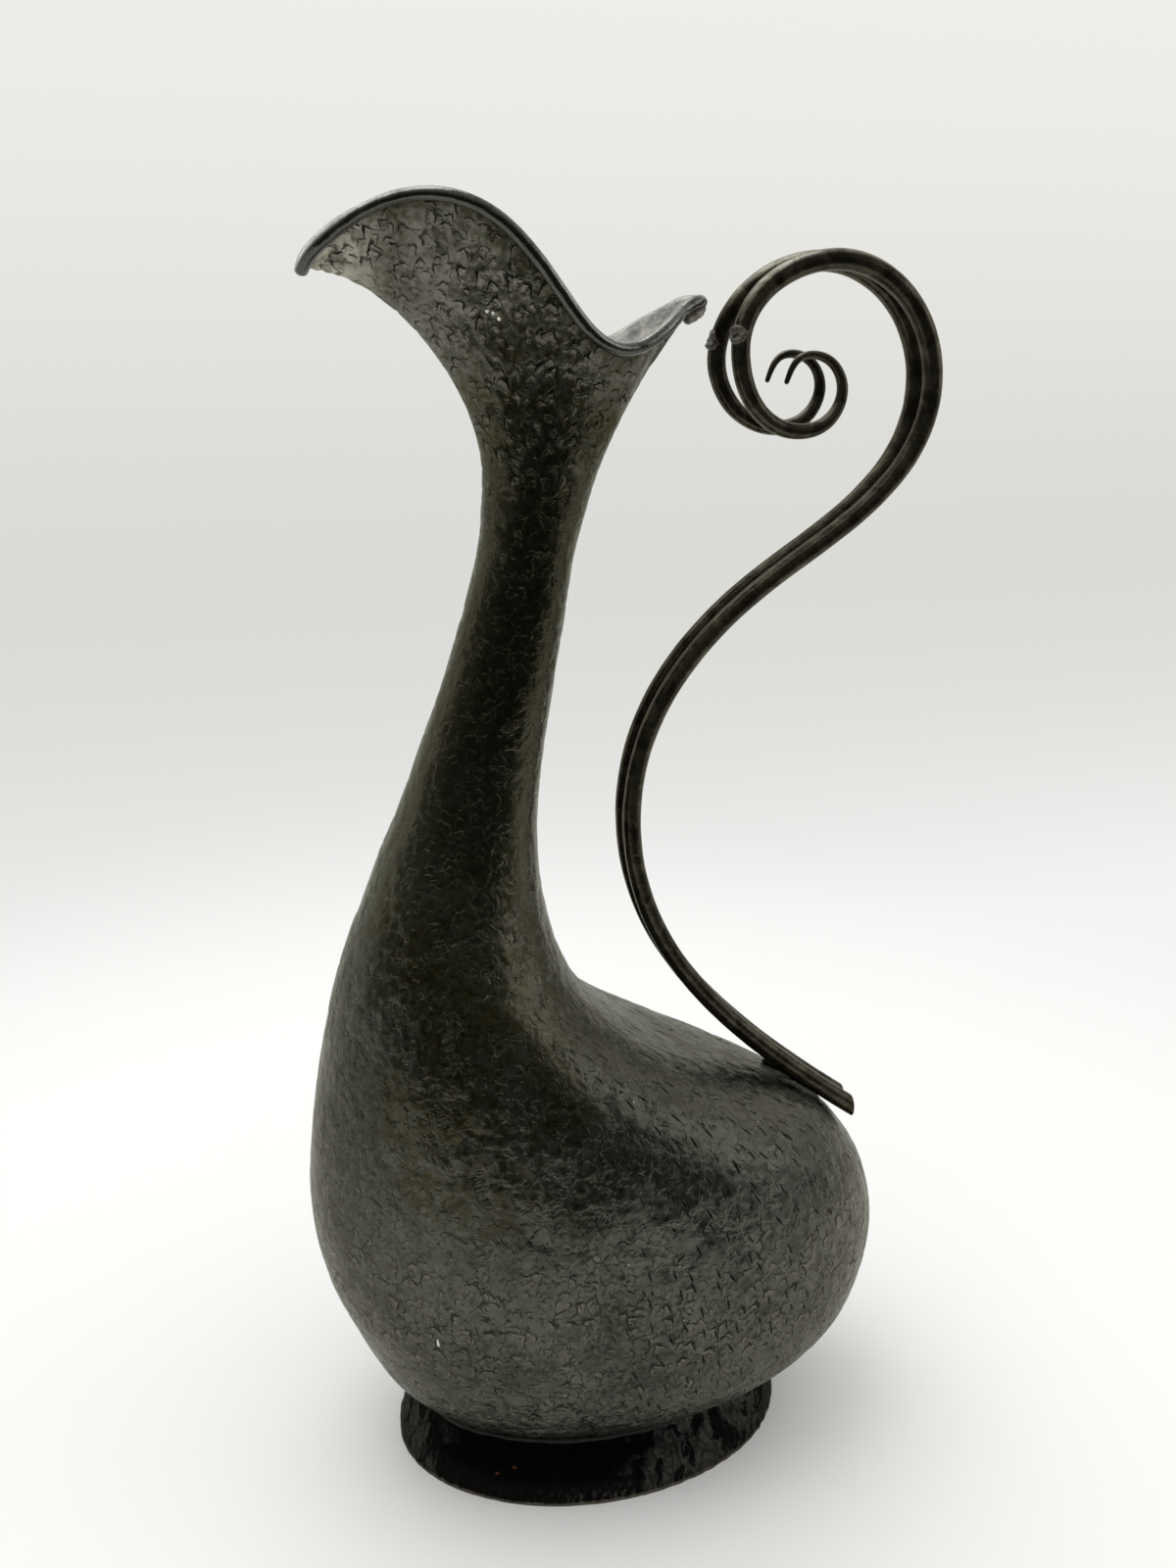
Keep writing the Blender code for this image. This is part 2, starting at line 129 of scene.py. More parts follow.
def softNoise(points, size, shift):
    # lumps of the given size, from -1 to 1
    place = np.asarray(points) / size + shift
    cell = np.floor(place).astype(int)
    part = place - cell
    part = part ** 3 * (part * (part * 6 - 15) + 10)
    total = np.zeros(len(place))
    for corner in np.ndindex(2, 2, 2):
        weight = np.prod(np.where(corner, part, 1 - part), axis=1)
        spot = (cell + corner) % 32
        total += weight * noiseTable[spot[:, 0], spot[:, 1], spot[:, 2]]
    return total


def lumpy(points, coarse, share, fine):
    # two sizes of lumps in one, each with its own shift
    return softNoise(points, *coarse) + share * softNoise(points, *fine)


def curveAt(share, start, pullA, pullB, end):
    rest = 1 - share
    return (rest ** 3 * start + 3 * rest ** 2 * share * pullA
            + 3 * rest * share ** 2 * pullB + share ** 3 * end)


def towardsMiddle(ring, distance):
    return ring + unitRows((ring.mean(axis=0) - ring) * np.array([1, 1, 0])) * distance


def addMesh(name, points, faces):
    mesh = bpy.data.meshes.new(name)
    mesh.from_pydata([tuple(point) for point in points], [], faces)
    mesh.update()
    mesh.shade_smooth()
    piece = bpy.data.objects.new(name, mesh)
    scene.collection.objects.link(piece)
    return piece


def stitch(faces, startA, countA, startB, countB):
    # triangles between two closed rings of any two counts
    a = b = 0
    while a < countA or b < countB:
        if b >= countB or (a < countA and (a + 1) * countB <= (b + 1) * countA):
            faces.append((startA + a % countA, startA + (a + 1) % countA, startB + b % countB))
            a += 1
        else:
            faces.append((startA + a % countA, startB + (b + 1) % countB, startB + b % countB))
            b += 1


def ringsToMesh(name, rings, close=False):
    starts = np.concatenate([[0], np.cumsum([len(ring) for ring in rings])])
    faces = []
    ends = []
    for i in range(len(rings) if close else len(rings) - 1):
        k = (i + 1) % len(rings)
        stitch(faces, int(starts[i]), len(rings[i]), int(starts[k]), len(rings[k]))
        ends.append(len(faces))
    return addMesh(name, np.concatenate(rings), faces), ends


# Drawn outline in millimetres, as in the part's source: front x, front z, back x, back z, half width
bodyStations = np.array([
    (-55.5, 16, 38.5, 16, 32), (-64, 18.7, 47.5, 19.5, 39.3),
    (-75.2, 29.5, 70.2, 28, 49.4), (-84.2, 46.5, 82.2, 44.5, 57.4),
    (-92.4, 68, 86.2, 63, 60.6), (-95.6, 95, 82.8, 83.3, 60.5),
    (-92.9, 122, 69.2, 103.2, 57), (-88.4, 147, 45.5, 117.2, 51),
    (-81.6, 171, 18, 130, 43), (-76, 185, -5, 146.5, 35.5),
    (-70.7, 199, -18.5, 167, 28.5), (-64.5, 213, -24.2, 192, 22.5),
    (-57.8, 230, -24.3, 214, 18.7), (-50.7, 249, -21.4, 236, 16.5),
    (-44, 270, -17.2, 260, 15), (-39.3, 288, -13.4, 283, 14.7),
    (-38.1, 306, -7.5, 303, 15.3),
]) / 1000
# Lip from the back tongue to the spout's tip: x, half width, z, and lean outward in degrees
lipPoints = np.array([
    (23, 0, 351.8, 43), (21.4, 3, 352, 39), (17.6, 4.8, 350.6, 34), (13.2, 8.8, 348, 31),
    (8, 13.4, 344.6, 33), (2.8, 15.8, 341.4, 36), (-3.5, 17.8, 339.8, 36), (-10, 20, 341.5, 33),
    (-19, 22, 350.3, 28), (-31, 23.5, 365, 25), (-42, 23.6, 373.5, 31), (-55, 21, 376.6, 40),
    (-68, 15.3, 373.6, 51), (-77, 9.5, 367.8, 62), (-82.5, 4.5, 362.5, 74), (-84.2, 0, 359.2, 85),
]) / np.array([1000, 1000, 1000, 1])
lipPlaces = runningShare(lipPoints[:, :3])
neckStation = len(bodyStations) - 1

body = {
    "spacing": 0.00112,        # between the points of the outer face
    "insideSpacing": 0.0042,
    "beadSpacing": 0.00085,
    "flangeSpacing": 0.003,
    "sheet": 0.0008,
    "wireRoom": 0.00095,       # wire radius and its clearance
    "neckPull": 0.23,
    "lipPull": 0.41,
    "flange": 0.008,           # turned in under the belly
    "hemTurn": 285,            # how far the lip rolls round its wire, in degrees
    "hemRagged": 12,
    "hemRounding": 0.00012,
    "hemNoise": ((0.0019, 2.1), 0.6, (0.006, 8.4)),
    "beadLumps": 0.00010,
    "beadNoise": ((0.0045, 3.7), 0.5, (0.002, 9.1)),
    "waves": [(0.018, 0.0, 0.00022), (0.0075, 5.3, 0.00010)],     # size, shift and depth
    "folds": (0.0046, 7.7, 0.00020),
}


def sectionAt(level, turn):
    # oval of the body at a station between the bottom and the neck
    row = throughRows(range(len(bodyStations)), bodyStations, level)[0]
    front = np.array([row[0], 0, row[1]])
    back = np.array([row[2], 0, row[3]])
    points = (front + back) / 2 + np.cos(turn)[:, None] * (back - front) / 2
    points[:, 1] += np.sin(turn) * row[4]
    return points


def lipAt(turn):
    turn = np.mod(turn, 2 * math.pi)
    half = 1 - np.abs(turn / math.pi - 1)
    rows = throughRows(lipPlaces, lipPoints, half)
    rows[:, 1] *= np.where(turn <= math.pi, 1, -1)
    middle = (bodyStations[-1][0] + bodyStations[-1][2]) / 2
    outward = rows[:, :3] - np.array([middle, 0, 0])
    outward[:, 2] = 0
    lean = np.radians(rows[:, 3])
    flow = unitRows(outward) * np.sin(lean)[:, None]
    flow[:, 2] = np.cos(lean)
    return rows[:, :3], flow


def lipFrame(turn):
    # lip edge, the sheet's way up to it square to the edge, and the outward normal
    edge, flow = lipAt(turn)
    along = unitRows(lipAt(turn + 0.004)[0] - lipAt(turn - 0.004)[0])
    square = unitRows(flow - along * np.sum(flow * along, axis=1, keepdims=True))
    return edge, square, np.cross(along, square)


def bodyAt(level, turn):
    # stations up to the neck, then one more step up to the lip
    if level <= neckStation:
        return sectionAt(level, turn)
    share = level - neckStation
    neck = sectionAt(neckStation, turn)
    edge, flow = lipAt(turn)
    reach = np.linalg.norm(edge - neck, axis=1, keepdims=True)
    rise = unitRows(neck - sectionAt(neckStation - 0.02, turn))
    pullA = neck + rise * reach * body["neckPull"]
    pullB = edge - flow * reach * body["lipPull"]
    return curveAt(share, neck, pullA, pullB, edge)


def bodyNormals(level, turn):
    low = max(level - 0.01, 0)
    high = min(level + 0.01, neckStation + 1)
    along = bodyAt(level, turn + 0.004) - bodyAt(level, turn - 0.004)
    return unitRows(np.cross(along, bodyAt(high, turn) - bodyAt(low, turn)))


def evenTurns(pointsAt, spacing):
    # angles that stand the same distance apart along a ring
    fine = np.linspace(0, 2 * math.pi, 721)
    lengths = runningLength(pointsAt(fine))
    count = max(16, int(round(lengths[-1] / spacing)))
    return np.interp(np.arange(count) / count, lengths / lengths[-1], fine)


def evenLevels(low, high, spacing):
    fine = np.linspace(low, high, 500)
    rings = np.array([bodyAt(level, circle(24)) for level in fine])
    steps = np.linalg.norm(np.diff(rings, axis=0), axis=2).mean(axis=1)
    places = np.concatenate([[0.0], np.cumsum(steps)])
    count = max(2, int(round(places[-1] / spacing)))
    return np.interp(np.linspace(0, places[-1], count + 1), places, fine)


def hammered(points, normals):
    # slow waves, planished dents and sharp folds
    depth = sum(deep * softNoise(points, size, shift) for size, shift, deep in body["waves"])
    size, shift, deep = body["folds"]
    depth += deep * (np.minimum(np.abs(softNoise(points, size, shift)) * 3, 1) - 0.7)
    return points + normals * depth[:, None]


def outerRings():
    turns = evenTurns(lambda turn: sectionAt(0, turn), body["flangeSpacing"])
    rings = [towardsMiddle(sectionAt(0, turns), body["flange"])]
    for level in evenLevels(0, neckStation + 0.985, body["spacing"]):
        turns = evenTurns(lambda turn: bodyAt(level, turn), body["spacing"])
        rings.append(hammered(bodyAt(level, turns), bodyNormals(level, turns)))
    return rings


def beadRings():
    # the sheet goes into the roll; its hem ends unevenly against the outside
    turns = evenTurns(lambda turn: lipAt(turn)[0], body["beadSpacing"])
    edge, square, normal = lipFrame(turns)
    centre = edge + normal * body["wireRoom"]
    outside = body["wireRoom"] + body["sheet"]
    ragged = lumpy(centre, *body["hemNoise"])
    hem = np.radians(body["hemTurn"] + body["hemRagged"] * ragged)

    def around(angle, radius):
        across = (np.sin(angle) * radius)[:, None]
        out = (np.cos(angle) * radius)[:, None]
        return centre + square * across - normal * out

    rings = [edge, around(hem, body["wireRoom"]), around(hem + 0.05, outside - body["hemRounding"])]
    for share in np.linspace(0, 1, 20):
        angle = hem * (1 - share)
        spot = around(angle, outside)
        lumps = lumpy(spot, *body["beadNoise"])
        fade = math.sin(math.pi * min(share * 1.2, 1)) if share < 0.85 else 0.1
        rings.append(around(angle, outside + body["beadLumps"] * lumps * fade))
    return rings


def innerRings():
    rings = []
    for level in evenLevels(0, neckStation + 0.98, body["insideSpacing"])[::-1]:
        spacing = body["insideSpacing"] * (0.5 if level > neckStation else 1)
        turns = evenTurns(lambda turn: bodyAt(level, turn), spacing)
        rings.append(bodyAt(level, turns) - bodyNormals(level, turns) * body["sheet"])
    turns = evenTurns(lambda turn: sectionAt(0, turn), body["insideSpacing"])
    floor = sectionAt(0, turns) + np.array([0, 0, body["sheet"]])
    rings[-1] = towardsMiddle(floor, body["sheet"])
    rings.append(towardsMiddle(floor, body["flange"]))
    return rings


outside = outerRings()
bead = beadRings()
inside = innerRings()
hammeredBody, ends = ringsToMesh("hammeredBody", outside + bead + inside, close=True)
beadStart = ends[len(outside) - 1]
insideStart = ends[len(outside) + len(bead) - 2]
# how far each point is from the lip, used to paint shade under it
lipSpots = lipAt(circle(400))[0]
lipTree = KDTree(len(lipSpots))
for i, spot in enumerate(lipSpots):
    lipTree.insert(spot, i)
lipTree.balance()
lipReach = hammeredBody.data.attributes.new("lipReach", "FLOAT", "POINT")
lipReach.data.foreach_set("value", [lipTree.find(vertex.co)[2] for vertex in hammeredBody.data.vertices])
print("body:", len(hammeredBody.data.polygons), "triangles")


# Foot: a flared oval skirt with deep upright tool marks
foot = {
    "flare": 0.0073,
    "bend": 0.42,
    "edge": 0.002,            # upright band at the ground
    "wall": 0.0014,
    "seatGap": 0.0003,
    "spacing": 0.00062,
    "rows": 34,
    "bark": 0.00058,          # depth of the upright marks
    "barkSize": (0.0030, 0.0030, 0.0085),
    "smoothMiddle": -0.034,   # the marks fade away here
    "smoothHalf": 0.014,
    "smoothFade": 0.022,
    "chipDepth": 0.0005,      # of the nicks along the ground
}


def footSeat(turn):
    return sectionAt(1.0, turn) + bodyNormals(1.0, turn) * foot["seatGap"]


def footRing(share, turn):
    top = footSeat(turn)
    whole = footSeat(circle(360))
    middleX = (whole[:, 0].max() + whole[:, 0].min()) / 2
    halfLength = (whole[:, 0].max() - whole[:, 0].min()) / 2 + foot["flare"]
    halfWidth = whole[:, 1].max() + foot["flare"]
    bottom = np.zeros_like(top)
    bottom[:, 0] = middleX + halfLength * np.cos(turn)
    bottom[:, 1] = halfWidth * np.sin(turn)
    bottom[:, 2] = foot["edge"]
    third = np.array([0, 0, (whole[:, 2].mean() - foot["edge"]) / 3])
    spread = (bottom - top) * np.array([foot["bend"], foot["bend"], 0])
    return curveAt(share, top, top + spread - third, bottom + third, bottom)


def buildFoot():
    turns = evenTurns(lambda turn: footRing(1.0, turn), foot["spacing"])
    shares = np.linspace(0, 1, foot["rows"])
    smooth = [footRing(share, turns) for share in shares]
    smooth.append(smooth[-1] * np.array([1, 1, 0.5]))
    smooth.append(smooth[-2] * np.array([1, 1, 0]) + np.array([0, 0, 0.0002]))
    outer = []
    for i, ring in enumerate(smooth):
        along = np.roll(ring, -1, axis=0) - np.roll(ring, 1, axis=0)
        below = smooth[min(i + 1, len(smooth) - 1)] - smooth[max(i - 1, 0)]
        normals = unitRows(np.cross(below, along))
        marks = softNoise(ring, foot["barkSize"], 1.7)
        fineMarks = softNoise(ring, np.array(foot["barkSize"]) * 0.5, 6.1)
        patches = 0.75 + 0.45 * softNoise(ring, 0.016, 4.4)
        offMiddle = np.abs(ring[:, 0] - foot["smoothMiddle"])
        patches = patches * np.clip((offMiddle - foot["smoothHalf"]) / foot["smoothFade"], 0.06, 1)
        depth = -(1 - np.abs(marks)) ** 3 + 0.35 * fineMarks - 0.15
        share = min(i / (foot["rows"] - 1), 1)
        fade = np.clip(share * 5, 0, 1) * np.clip((1.06 - share) * 9, 0.25, 1)
        outer.append(ring + normals * (foot["bark"] * depth * patches * fade)[:, None])
    chipped = softNoise(outer[-1], 0.004, 2.2)
    outer[-1][:, 2] = np.clip(0.0007 * (chipped - 0.45), 0, foot["chipDepth"])
    inner = []
    for share in np.linspace(1, 0, 8):
        ring = towardsMiddle(footRing(share, turns[::3]), foot["wall"])
        if share == 1:
            ring[:, 2] = 0.0
        inner.append(ring)
    return ringsToMesh("footSkirt", (outer + inner)[::-1], close=True)[0]


footSkirt = buildFoot()
print("foot:", len(footSkirt.data.polygons), "triangles")

# Solder in the groove between belly and foot, uneven as it was run in
footSeam = {"radius": 0.00085, "sides": 12, "spacing": 0.0011, "lumps": 0.00022,
            "noise": ((0.005, 1.1), 0.5, (0.0018, 7.9))}


def buildFootSolder():
    turns = evenTurns(lambda turn: footRing(0, turn), footSeam["spacing"])
    top = footRing(0, turns)
    along = np.roll(top, -1, axis=0) - np.roll(top, 1, axis=0)
    footNormal = unitRows(np.cross(along, top - footRing(0.04, turns)))
    bellyNormal = bodyNormals(1.0, turns)
    out = unitRows(footNormal + bellyNormal)
    spread = np.sum(out * bellyNormal, axis=1, keepdims=True)
    radius = footSeam["radius"]
    centre = sectionAt(1.0, turns) + out * (radius * 0.75) / spread
    side = np.cross(unitRows(along), out)
    rings = []
    for angle in circle(footSeam["sides"]):
        reach = out * math.cos(angle) + side * math.sin(angle)
        spot = centre + reach * radius
        lumps = lumpy(spot, *footSeam["noise"])
        rings.append(spot + reach * (footSeam["lumps"] * lumps)[:, None])
    return ringsToMesh("footSolder", rings, close=True)[0]


footSolder = buildFootSolder()
print("foot solder laid")

# Handle: two forged rods, seated on the tail and rolled into scrolls. In millimetres: x, z, half gap, radius
handleRoute = np.array([
    (40.5, 132.5, 3.75, 2.95), (26, 148.3, 3.75, 2.85), (9, 177.4, 3.7, 2.75),
    (4, 204, 3.75, 2.7), (7.8, 228.8, 3.8, 2.7), (21, 252.2, 3.9, 2.75),
    (45.5, 274.5, 4, 2.8), (75.8, 296, 4.3, 2.85), (90.6, 315.9, 4.7, 2.9),
    (93, 330.3, 5, 2.9), (86, 350.1, 5.2, 2.98), (68, 362, 5.4, 3),
    (47.9, 359.6, 5.5, 2.9), (36.7, 350.7, 6.4, 2.78), (32.2, 337, 9.3, 2.65),
    (37.8, 322.7, 9.6, 2.45), (48.8, 316.9, 8.6, 2.2), (59.5, 319.4, 8, 1.95),
    (63.7, 328.1, 7.6, 1.65), (59.4, 335.9, 7.3, 1.4), (50.8, 336.6, 7.1, 1.05),
    (47, 330.2, 7, 0.7),
]) / 1000
rod = {
    "seatX": 0.0675,
    "seatRadius": 0.003,
    "seatHalfGap": 0.0038,
    "bed": 0.0008,            # solder under the rod
    "cutX": 0.0805,           # upright cut behind the seat
    "cutUnder": 0.12,         # the scroll above is left alone
    "endDrop": 0.0008,
    "sides": 24,
    "spacing": 0.0009,
    "forged": 0.00007,        # depth of the forging flats
    "noise": ((0.009, 2.9), 0.5, (0.004, 5.5)),
}

depsgraph = bpy.context.evaluated_depsgraph_get()
tailSurface = BVHTree.FromObject(frame["nodes"]["body_shell"], depsgraph)


def tailAt(x, y):
    point, normal, _, _ = tailSurface.ray_cast(Vector((x, y, 1)), Vector((0, 0, -1)))
    return np.array(point), np.array(normal)


def rodLine():
    # centres and radii of the +Y rod, from past its cut to the scroll's tip
    seat, normal = tailAt(rod["seatX"], rod["seatHalfGap"])
    normal = unitRows(normal * np.array([1, 0, 1]))
    downhill = np.array([normal[2], 0, -normal[0]])
    onTail = seat + normal * (rod["seatRadius"] + rod["bed"])
    past = (rod["cutX"] - rod["seatX"] + 2 * rod["seatRadius"]) / downhill[0]
    end = onTail + downhill * past - normal * rod["endDrop"]
    rows = [(*end, rod["seatRadius"]), (*onTail, rod["seatRadius"])]
    rows += [(x, gap, z, radius) for x, z, gap, radius in handleRoute]
    rows = np.array(rows)
    places = runningShare(rows[:, :3])
    fine = throughRows(places, rows, np.linspace(0, 1, 4000))
    lengths = runningLength(fine[:, :3])
    even = np.linspace(0, lengths[-1], int(lengths[-1] / rod["spacing"]))
    line = rowsAt(even, lengths, fine)
    return line[:, :3], line[:, 3]


rodCentres, rodRadii = rodLine()


def rodFrame(points):
    along = unitRows(np.gradient(points, axis=0))
    across = np.tile([0.0, 1.0, 0.0], (len(points), 1))
    outward = unitRows(np.cross(across, along))
    return along, outward, np.cross(along, outward)


def barRings(centres, radii, depths, setup, mirror):
    # uneven rings along a line, and the last ring's spokes
    _, outward, across = rodFrame(centres)
    angles = circle(setup["sides"])[:, None]
    rings = []
    for i in range(len(centres)):
        reach = outward[i] * np.cos(angles) + across[i] * np.sin(angles)
        spot = centres[i] + reach * radii[i]
        lumps = depths[i] * lumpy(spot * mirror, *setup["noise"])
        rings.append((spot + reach * lumps[:, None]) * mirror)
    return rings, reach


def buildRod(name, side):
    mirror = np.array([1, side, 1])
    depths = np.full(len(rodRadii), rod["forged"])
    rings, reach = barRings(rodCentres, rodRadii, depths, rod, mirror)
    along = rodFrame(rodCentres)[0][-1]
    for share in (0.5, 0.85, 0.99):     # rounded tip
        grow = math.sqrt(1 - share ** 2)
        ahead = rodCentres[-1] + along * rodRadii[-1] * share
        rings.append((ahead + reach * rodRadii[-1] * grow) * mirror)
    piece, _ = ringsToMesh(name, rings[::-1] if side > 0 else rings)
    shape = bmesh.new()
    shape.from_mesh(piece.data)
    low = [vertex for vertex in shape.verts if vertex.co.z < rod["cutUnder"]]
    found = set(low)
    low += [item for item in [*shape.edges, *shape.faces] if found.issuperset(item.verts)]
    bmesh.ops.bisect_plane(shape, geom=low, plane_co=(rod["cutX"], 0, 0), plane_no=(1, 0, 0),
                           clear_outer=True)
    bmesh.ops.holes_fill(shape, edges=[edge for edge in shape.edges if edge.is_boundary])
    bmesh.ops.recalc_face_normals(shape, faces=shape.faces)
    shape.to_mesh(piece.data)
    shape.free()
    piece.data.shade_smooth()
    piece.data.set_sharp_from_angle(angle=math.radians(50))
    return piece


leftRod = buildRod("leftHandleRod", -1)
rightRod = buildRod("rightHandleRod", 1)
print("rods:", len(leftRod.data.polygons), "faces each")

# Solder that holds the rods to the tail
seam = {"radius": 0.00125, "tip": 0.00002, "length": 0.0150, "setBack": 0.0075, "aside": 0.0029,
        "lift": 0.00075, "sides": 18, "lumps": 0.00030, "noise": ((0.0032, 1.3), 0.6, (0.0012, 4.1))}


def buildHandleSolder(name, side):
    middle = rod["seatX"] - seam["setBack"]
    aside = rod["seatHalfGap"] + seam["aside"]
    centres = []
    radii = []
    for share in np.linspace(-1, 1, 40):
        ground, groundNormal = tailAt(middle + share * seam["length"] / 2, aside)
        centres.append(ground + groundNormal * seam["lift"])
        radii.append(seam["radius"] * (1 - share ** 4) ** 0.5 + seam["tip"])
    depths = seam["lumps"] * np.array(radii) / seam["radius"]
    rings, _ = barRings(np.array(centres), radii, depths, seam, np.array([1, side, 1]))
    return ringsToMesh(name, rings[::-1] if side > 0 else rings)[0]


leftSolder = buildHandleSolder("leftHandleSolder", -1)
rightSolder = buildHandleSolder("rightHandleSolder", 1)
print("handle solder laid")

# Old solder left on the scrolls where they once met the lip
scar = {
    "length": 0.0048,
    "turn": 130,
    "thickness": 0.00095,
    "hollow": 0.00085,        # broken out in the middle
    "crust": 0.00040,
    "noise": ((0.0016, 1.9), 0.7, (0.0007, 6.6)),
    "sunk": 0.0005,           # its bed in the rod
    "rings": 18,
    "spokes": 56,
    "leftAside": 34,          # turned towards the near side, in degrees
    "rightAside": -6,
    "leftUp": 0.0016,
}


def middleOf(node):
    low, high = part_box(node)
    return (np.array(low) + np.array(high)) / 2


def buildScar(name, side, aside, up, node):
    middle = middleOf(node) * np.array([1, side, 1])
    nearest = int(np.argmin(np.linalg.norm(rodCentres - middle, axis=1)))
    lengths = runningLength(rodCentres)
    _, outward, across = rodFrame(rodCentres)
    rows = np.concatenate([rodCentres, rodRadii[:, None], outward, across], axis=1)
    mirror = np.array([1, side, 1])
    spokes = circle(scar["spokes"])
    shape = np.stack([np.cos(spokes), np.sin(spokes), np.full(len(spokes), side * 0.7)], axis=1)
    ragged = 1 + 0.22 * softNoise(shape, 0.8, 3.1) + 0.12 * softNoise(shape, 0.35, 8.8)

    def ring(share, height, rough):
        place = lengths[nearest] - up + ragged * share * np.cos(spokes) * scar["length"] / 2
        turn = np.radians(aside + ragged * share * np.sin(spokes) * scar["turn"] / 2)
        at = rowsAt(place, lengths, rows)
        reach = unitRows(at[:, 4:7] * np.cos(turn)[:, None] + at[:, 7:10] * np.sin(turn)[:, None])
        spot = at[:, :3] + reach * (at[:, 3] + height)[:, None]
        crust = lumpy(spot * mirror, *scar["noise"])
        return (spot + reach * (rough * crust)[:, None]) * mirror

    rings = []
    for share in np.linspace(1, 0.04, scar["rings"]):
        swell = scar["thickness"] * (1 - share ** 4) ** 0.7 - 0.0001
        swell -= scar["hollow"] * math.exp(-(share / 0.42) ** 2)
        rings.append(ring(share, swell, scar["crust"] * (1 - share ** 6)))
    rings = [ring(share, -scar["sunk"], 0) for share in (0.04, 0.9)] + rings
    return ringsToMesh(name, rings if side < 0 else rings[::-1], close=True)[0]


leftScar = buildScar("leftScrollScar", -1, scar["leftAside"], scar["leftUp"], "left_scroll_scar")
rightScar = buildScar("rightScrollScar", 1, scar["rightAside"], 0, "right_scroll_scar")

# Lump of old solder under the end of the back lip
lumpSetup = {"half": (0.0037, 0.0036, 0.0018), "lift": 0.0013, "tilt": 40, "lumps": 0.00040,
             "noise": ((0.0026, 2.4), 0.55, (0.0011, 5.7))}


def buildLump():
    middle = middleOf("lip_solder_scar") + np.array([0, 0, lumpSetup["lift"]])
    shape = bmesh.new()
    bmesh.ops.create_icosphere(shape, subdivisions=5, radius=1)
    points = np.array([vertex.co for vertex in shape.verts])
    faces = [[vertex.index for vertex in face.verts] for face in shape.faces]
    shape.free()
    tilt = math.radians(lumpSetup["tilt"])
    spot = points * np.array(lumpSetup["half"])
    crust = lumpy(spot, *lumpSetup["noise"])
    spot = spot + points * (lumpSetup["lumps"] * crust)[:, None]
    flat = math.cos(tilt)
    steep = math.sin(tilt)
    turned = spot @ np.array([(flat, 0, steep), (0, 1, 0), (-steep, 0, flat)])
    return addMesh("lipSolderLump", turned + middle, faces)


lipLump = buildLump()
print("solder scars made")


# Node helpers: a finish is written as sums and products, and each of them adds its node
class Value:
    def __init__(self, socket):
        self.socket = socket

    def __add__(self, other):
        return calc("ADD", self, other)

    def __sub__(self, other):
        return calc("SUBTRACT", self, other)

    def __rsub__(self, other):
        return calc("SUBTRACT", other, self)

    def __mul__(self, other):
        return calc("MULTIPLY", self, other)

    def __truediv__(self, other):
        return calc("DIVIDE", self, other)

    def __abs__(self):
        return calc("ABSOLUTE", self)


def feed(socket, value):
    if isinstance(value, Value):
        socket.id_data.links.new(value.socket, socket)
    elif socket.type == "RGBA":
        socket.default_value = (*value, 1)
    else:
        socket.default_value = value


def addNode(kind, inputs, **settings):
    # inputs by name or place; the node joins the tree that they come from
    tree = next(value.socket.id_data for value in inputs.values() if isinstance(value, Value))
    node = tree.nodes.new("ShaderNode" + kind)
    for name, setting in settings.items():
        setattr(node, name, setting)
    for name, value in inputs.items():
        feed(node.inputs[name], value)
    return [Value(socket) for socket in node.outputs]


def calc(operation, *values):
    return addNode("Math", dict(enumerate(values)), operation=operation)[0]


def largest(first, *others):
    for other in others:
        first = calc("MAXIMUM", first, other)
    return first


def vector(operation, *values):
    outputs = addNode("VectorMath", dict(enumerate(values)), operation=operation)
    return outputs[1 if operation in ("LENGTH", "DOT_PRODUCT") else 0]


def scaled(value, factor):
    return addNode("VectorMath", {0: value, "Scale": factor}, operation="SCALE")[0]


def between(value, low, high, start=0.0, end=1.0):
    # goes softly from start to end while the value goes from low to high
    inputs = dict(enumerate((value, low, high, start, end)))
    return addNode("MapRange", inputs, interpolation_type="SMOOTHSTEP")[0]


def blend(share, first, second):
    return addNode("Mix", {0: share, 6: first, 7: second}, data_type="RGBA")[2]


def noise(place, size, detail=2.0, rough=0.5, twist=0.0):
    # a number and a colour
    return addNode("TexNoise", {"Vector": place, "Scale": 1 / size, "Detail": detail, "Roughness": rough,
                                "Distortion": twist})


def cloud(place, *setup):
    return noise(place, *setup)[0]


def voronoi(place, size, **settings):
    # distance, colour and middle of the cell
    return addNode("TexVoronoi", {"Vector": place, "Scale": 1 / size}, **settings)[:3]


def bump(height, distance, onto=None):
    inputs = {"Height": height, "Distance": distance, "Strength": 1.0}
    if onto is not None:
        inputs["Normal"] = onto
    return addNode("Bump", inputs)[0]


def axes(place):
    return addNode("SeparateXYZ", {0: place})


def moved(place, shift):
    return vector("ADD", place, shift)


def warped(place, size, reach):
    # coordinates pushed about by a fine cloud
    push = vector("SUBTRACT", noise(place, size)[1], (0.5, 0.5, 0.5))
    return vector("ADD", place, scaled(push, reach))


def sheetWays(normal):
    # two ways along the sheet, round the ewer and up it; the axis leans, so no flat stands square to it
    around = vector("NORMALIZE", vector("CROSS_PRODUCT", (0.04, 0.03, 1.0), normal))
    return around, vector("CROSS_PRODUCT", normal, around)


